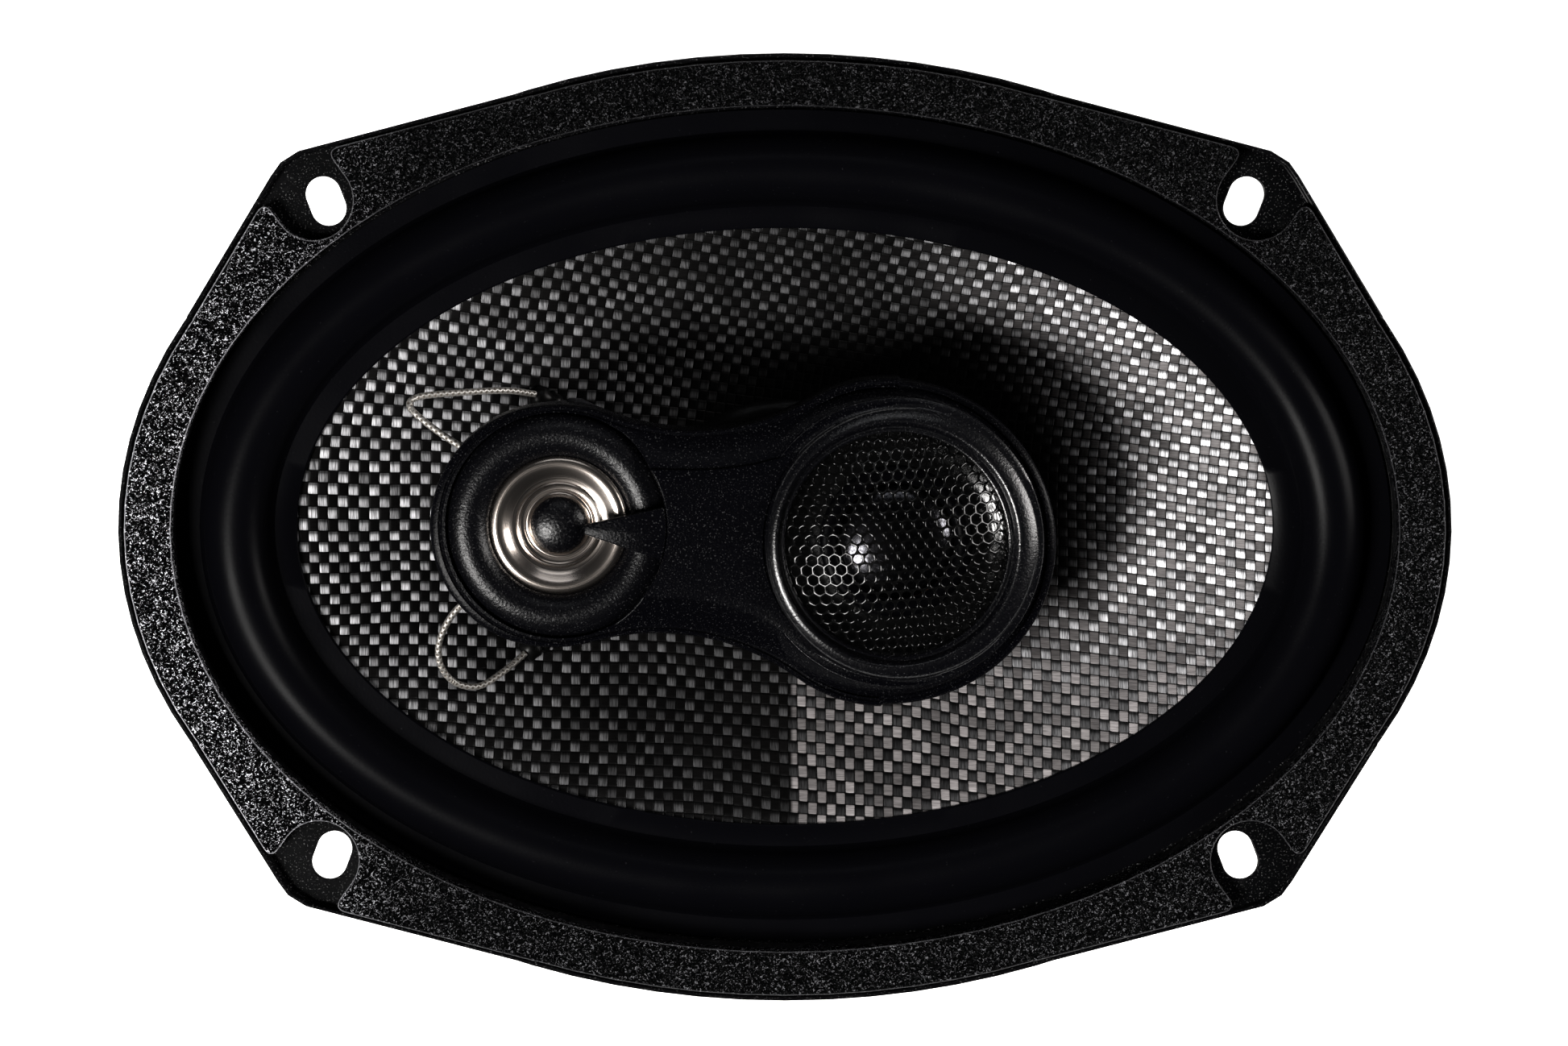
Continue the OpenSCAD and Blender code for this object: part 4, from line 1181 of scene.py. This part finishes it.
class SPEAKER_OT_tweeter(bpy.types.Operator):
    """Tweeter: bezel, domed hexagon mesh, faceplate, dome and its surround"""
    bl_idname = "speaker.tweeter"
    bl_label = "Tweeter"

    def execute(self, context):
        centre = pod_centre(TWEET)
        bezel = [(25.6, 16.4), (25.4, 16.9), (24.8, 17.1), (24.1, 17.2), (23.75, 17.5), (23.6, 18.2),
                 (23.3, 18.55), (22.8, 18.85), (22.3, 19.08), (21.8, 19.25), (21.4, 19.3), (21.1, 19.15),
                 (20.8, 18.7), (20.5, 17.95), (20.2, 17.9), (20.1, 18.2), (19.85, 18.3), (19.6, 18.15),
                 (19.5, 17.8), (19.5, 15.0), (20.5, 15.0), (20.5, 16.8), (25.0, 16.5)]
        bm = spun(bezel, centre, 144)
        for v in bm.verts:
            out = out_from(centre, v.co)
            if v.co.z > 16.7 * MM:
                v.co.x += 0.8 * min(1.0, max(0.0, (out - 21.0) / 2.0)) * min(1.0, (25.7 - out) / 1.0) * MM
        tilted(bm, centre, 17.2, 18.4)
        piece("tweeter_bezel", bm, "satin_plastic", BASE, ["tweeter_bezel"], 40)

        pitch, hole = sizes().mesh_pitch, sizes().mesh_hole
        bm = bmesh.new()
        side = pitch / math.sqrt(3)
        for row in range(-12, 13):
            for col in range(-12, 13):
                x, y = (col + 0.5 * (row % 2)) * pitch, row * side * 1.5
                if math.hypot(x, y) < 20.0 * MM:
                    cell = bmesh.ops.create_circle(bm, cap_ends=True, radius=side, segments=6)["verts"]
                    bmesh.ops.translate(bm, vec=(x, y, 0), verts=cell)
        bmesh.ops.remove_doubles(bm, verts=bm.verts, dist=0.02 * MM)
        bmesh.ops.subdivide_edges(bm, edges=bm.edges, cuts=1)
        holes = bm.faces[:]
        middles = [(f, f.calc_center_median()) for f in holes]
        bmesh.ops.inset_individual(bm, faces=holes, thickness=0.12 * MM, depth=0.0)
        for f, middle in middles:
            for v in f.verts:
                v.co = middle + (v.co - middle).normalized() * hole
        bmesh.ops.delete(bm, geom=holes, context="FACES_ONLY")
        for v in bm.verts:
            r = min(v.co.xy.length, 19.4 * MM)
            v.co.z = (17.1 + 5.9 * (1 - (r / (19.3 * MM)) ** 2)) * MM
        over = [v for v in bm.verts if v.co.xy.length > 20.35 * MM]
        bmesh.ops.delete(bm, geom=over, context="VERTS")
        bmesh.ops.recalc_face_normals(bm, faces=bm.faces)
        bmesh.ops.rotate(bm, cent=(0, 0, 0), matrix=Matrix.Rotation(math.radians(4), 3, "Z"), verts=bm.verts)
        bmesh.ops.translate(bm, vec=(centre[0] * MM, centre[1] * MM, 0), verts=bm.verts)
        tilted(bm, centre, 0.0, 0.1)
        made = piece("mesh_grille", bm, "mesh_paint", BASE, ["mesh_grille"], 80)
        walled(made, 0.42)
        soft = made.modifiers.new("round", "SUBSURF")
        soft.levels = soft.render_levels = 1

        plate = [(12.6, 12.0), (20.5, 12.0), (20.5, 14.0), (18.4, 14.0), (17.6, 13.4), (14.4, 13.2),
                 (13.6, 13.5), (12.9, 13.5), (12.6, 13.1)]
        piece("tweeter_faceplate", spun(plate, centre, 96), "gloss_black", BASE,
              ["tweeter_faceplate"], 40)
        dome, inner = (
            [(r * math.sin(math.radians(a)), z + h * math.cos(math.radians(a))) for a in degrees]
            for r, z, h, degrees in ((10.2, 13.0, 3.2, range(0, 91, 6)), (9.9, 12.8, 3.1, range(88, 0, -8))))
        bm = spun([(0.001, 16.2)] + dome[1:] + inner + [(0.001, 15.9)], centre, 72)
        piece("tweeter_dome", bm, "dome_foil", TWEETER, ["tweeter_dome"], 60)
        top = arc((11.9, 13.4), 1.5, 0.9, range(0, 181, 15))
        under = [(r, z - 0.25) for r, z in reversed(top)]
        profile = [(13.6, 13.15), (13.6, 13.4)] + top + [(10.25, 13.4), (10.25, 13.15)] + under
        made = piece("tweeter_surround", spun(profile, centre, 72), "smooth_rubber", None,
                     ["tweeter_surround"], 60)
        bends(made, BASE, TWEETER, lambda co: eased((13.2 - out_from(centre, co)) / 2.8))
        return {"FINISHED"}


class SPEAKER_OT_inner_finishes(bpy.types.Operator):
    """Finishes for the parts inside the pod that keep their drawn shapes"""
    bl_idname = "speaker.inner_finishes"
    bl_label = "Inner parts"

    def execute(self, context):
        for name, nodes in (("plain_plastic", ("mid_frame",)),
                            ("copper_wire", ("mid_coil", "tweeter_coil")),
                            ("zinc_steel", ("mid_yoke", "mid_pole_piece", "tweeter_yoke",
                                            "tweeter_pole_piece")),
                            ("nickel", ("mid_magnet", "tweeter_magnet")),
                            ("capacitor_sleeve", ("crossover_capacitors",))):
            for node in nodes:
                dress(node, name)
        return {"FINISHED"}


FINISHES = {
    "painted_steel": painted_steel,
    "flange_paint": lambda: painted_steel("flange_paint", tuple(colours().paint), 0.03, 0.05),
    "pebbled_skin": pebbled_skin,
    "smooth_rubber": smooth_rubber,
    "woven_tows": woven_tows,
    "braided_tinsel": braided,
    "grained_plastic": grained_plastic,
    "plain_plastic": lambda: grained_plastic("plain_plastic", 0.5, 0.02, 0.40, (0.006, 0.006, 0.007), 0.2),
    "satin_plastic": lambda: grained_plastic("satin_plastic", 0.30, 0.035, 0.215, None, 0.40),
    "grained_cover": lambda: grained_plastic("grained_cover", 0.36, 0.06, 0.26, None, 0.06),
    "grained_cap": lambda: grained_plastic("grained_cap", 0.42, 0.07, 0.26, None, 0.20),
    "grained_rubber": lambda: grained_plastic("grained_rubber", 0.34, 0.06, 0.25, (0.0010, 0.0010, 0.0014),
                                              0.13),
    "boot_rubber": lambda: smooth_rubber("boot_rubber", (0.5, 0.62), None, 0.04),
    "spun_aluminium": lambda: bright_metal("spun_aluminium", tuple(colours().aluminium), 0.20, pod_centre(MID)),
    "zinc_steel": lambda: bright_metal("zinc_steel", (0.20, 0.20, 0.195), 0.38, (0, 0), 0.3),
    "zinc_plate": lambda: bright_metal("zinc_plate", (0.36, 0.36, 0.35), 0.30),
    "nickel": lambda: bright_metal("nickel", (0.60, 0.58, 0.54), 0.22),
    "tinned_brass": lambda: bright_metal("tinned_brass", (0.66, 0.64, 0.58), 0.28),
    "ferrite": lambda: sleeve("ferrite", (0.035, 0.035, 0.037), 0.6, 0.4),
    "felt": lambda: cloth_finish("felt", (0.03, 0.03, 0.03), 0.7),
    "former_paper": lambda: cloth_finish("former_paper", (0.34, 0.17, 0.07), 0.9),
    "spider_cloth": lambda: cloth_finish("spider_cloth", (0.45, 0.30, 0.09), 0.55),
    "copper_wire": coil_wire,
    "mesh_paint": lambda: sleeve("mesh_paint", (0.0012, 0.0012, 0.0012), 0.12, 0.2, 3.0, 0.2),
    "gloss_black": lambda: sleeve("gloss_black", (0.002, 0.002, 0.002), 0.12, 0.2, 4.0),
    "dome_foil": lambda: bright_metal("dome_foil", (0.05, 0.05, 0.055), 0.14, pod_centre(TWEET)),
    "capacitor_sleeve": lambda: sleeve("capacitor_sleeve", (0.02, 0.05, 0.16), 0.3, 0.2),
    "black_glue": lambda: sleeve("black_glue", (0.0012, 0.0012, 0.0012), 0.34, 0.3, 1.4, 0.08),
    "board_laminate": lambda: sleeve("board_laminate", (0.16, 0.085, 0.035), 0.55, 0.25, 1.5),
}

STEPS = ("stage", "leads", "basket", "gasket", "surround", "cone", "glue", "motor", "terminals", "pod",
         "midrange", "tweeter", "inner_finishes")


class SPEAKER_PT_panel(bpy.types.Panel):
    """Buttons that build the speaker piece by piece"""
    bl_label = "Coaxial car speaker"
    bl_idname = "SPEAKER_PT_panel"
    bl_space_type = "VIEW_3D"
    bl_region_type = "UI"
    bl_category = "Speaker"

    def draw(self, context):
        layout = self.layout
        for group in (context.scene.speaker_sizes, context.scene.speaker_colours):
            box = layout.box()
            for name in group.bl_rna.properties.keys():
                if name not in ("rna_type", "name"):
                    box.prop(group, name)
        for step in STEPS:
            layout.operator("speaker." + step)


CLASSES = (SpeakerSizes, SpeakerColours, SPEAKER_OT_stage, SPEAKER_OT_leads, SPEAKER_OT_basket,
           SPEAKER_OT_gasket, SPEAKER_OT_surround, SPEAKER_OT_cone, SPEAKER_OT_glue, SPEAKER_OT_motor,
           SPEAKER_OT_terminals, SPEAKER_OT_pod, SPEAKER_OT_midrange, SPEAKER_OT_tweeter,
           SPEAKER_OT_inner_finishes, SPEAKER_PT_panel)


def register():
    for kind in CLASSES:
        bpy.utils.register_class(kind)
    bpy.types.Scene.speaker_sizes = PointerProperty(type=SpeakerSizes)
    bpy.types.Scene.speaker_colours = PointerProperty(type=SpeakerColours)


def unregister():
    del bpy.types.Scene.speaker_colours
    del bpy.types.Scene.speaker_sizes
    for kind in reversed(CLASSES):
        bpy.utils.unregister_class(kind)


def main():
    register()
    for step in STEPS:
        getattr(bpy.ops.speaker, step)()


if __name__ == "__main__":
    main()
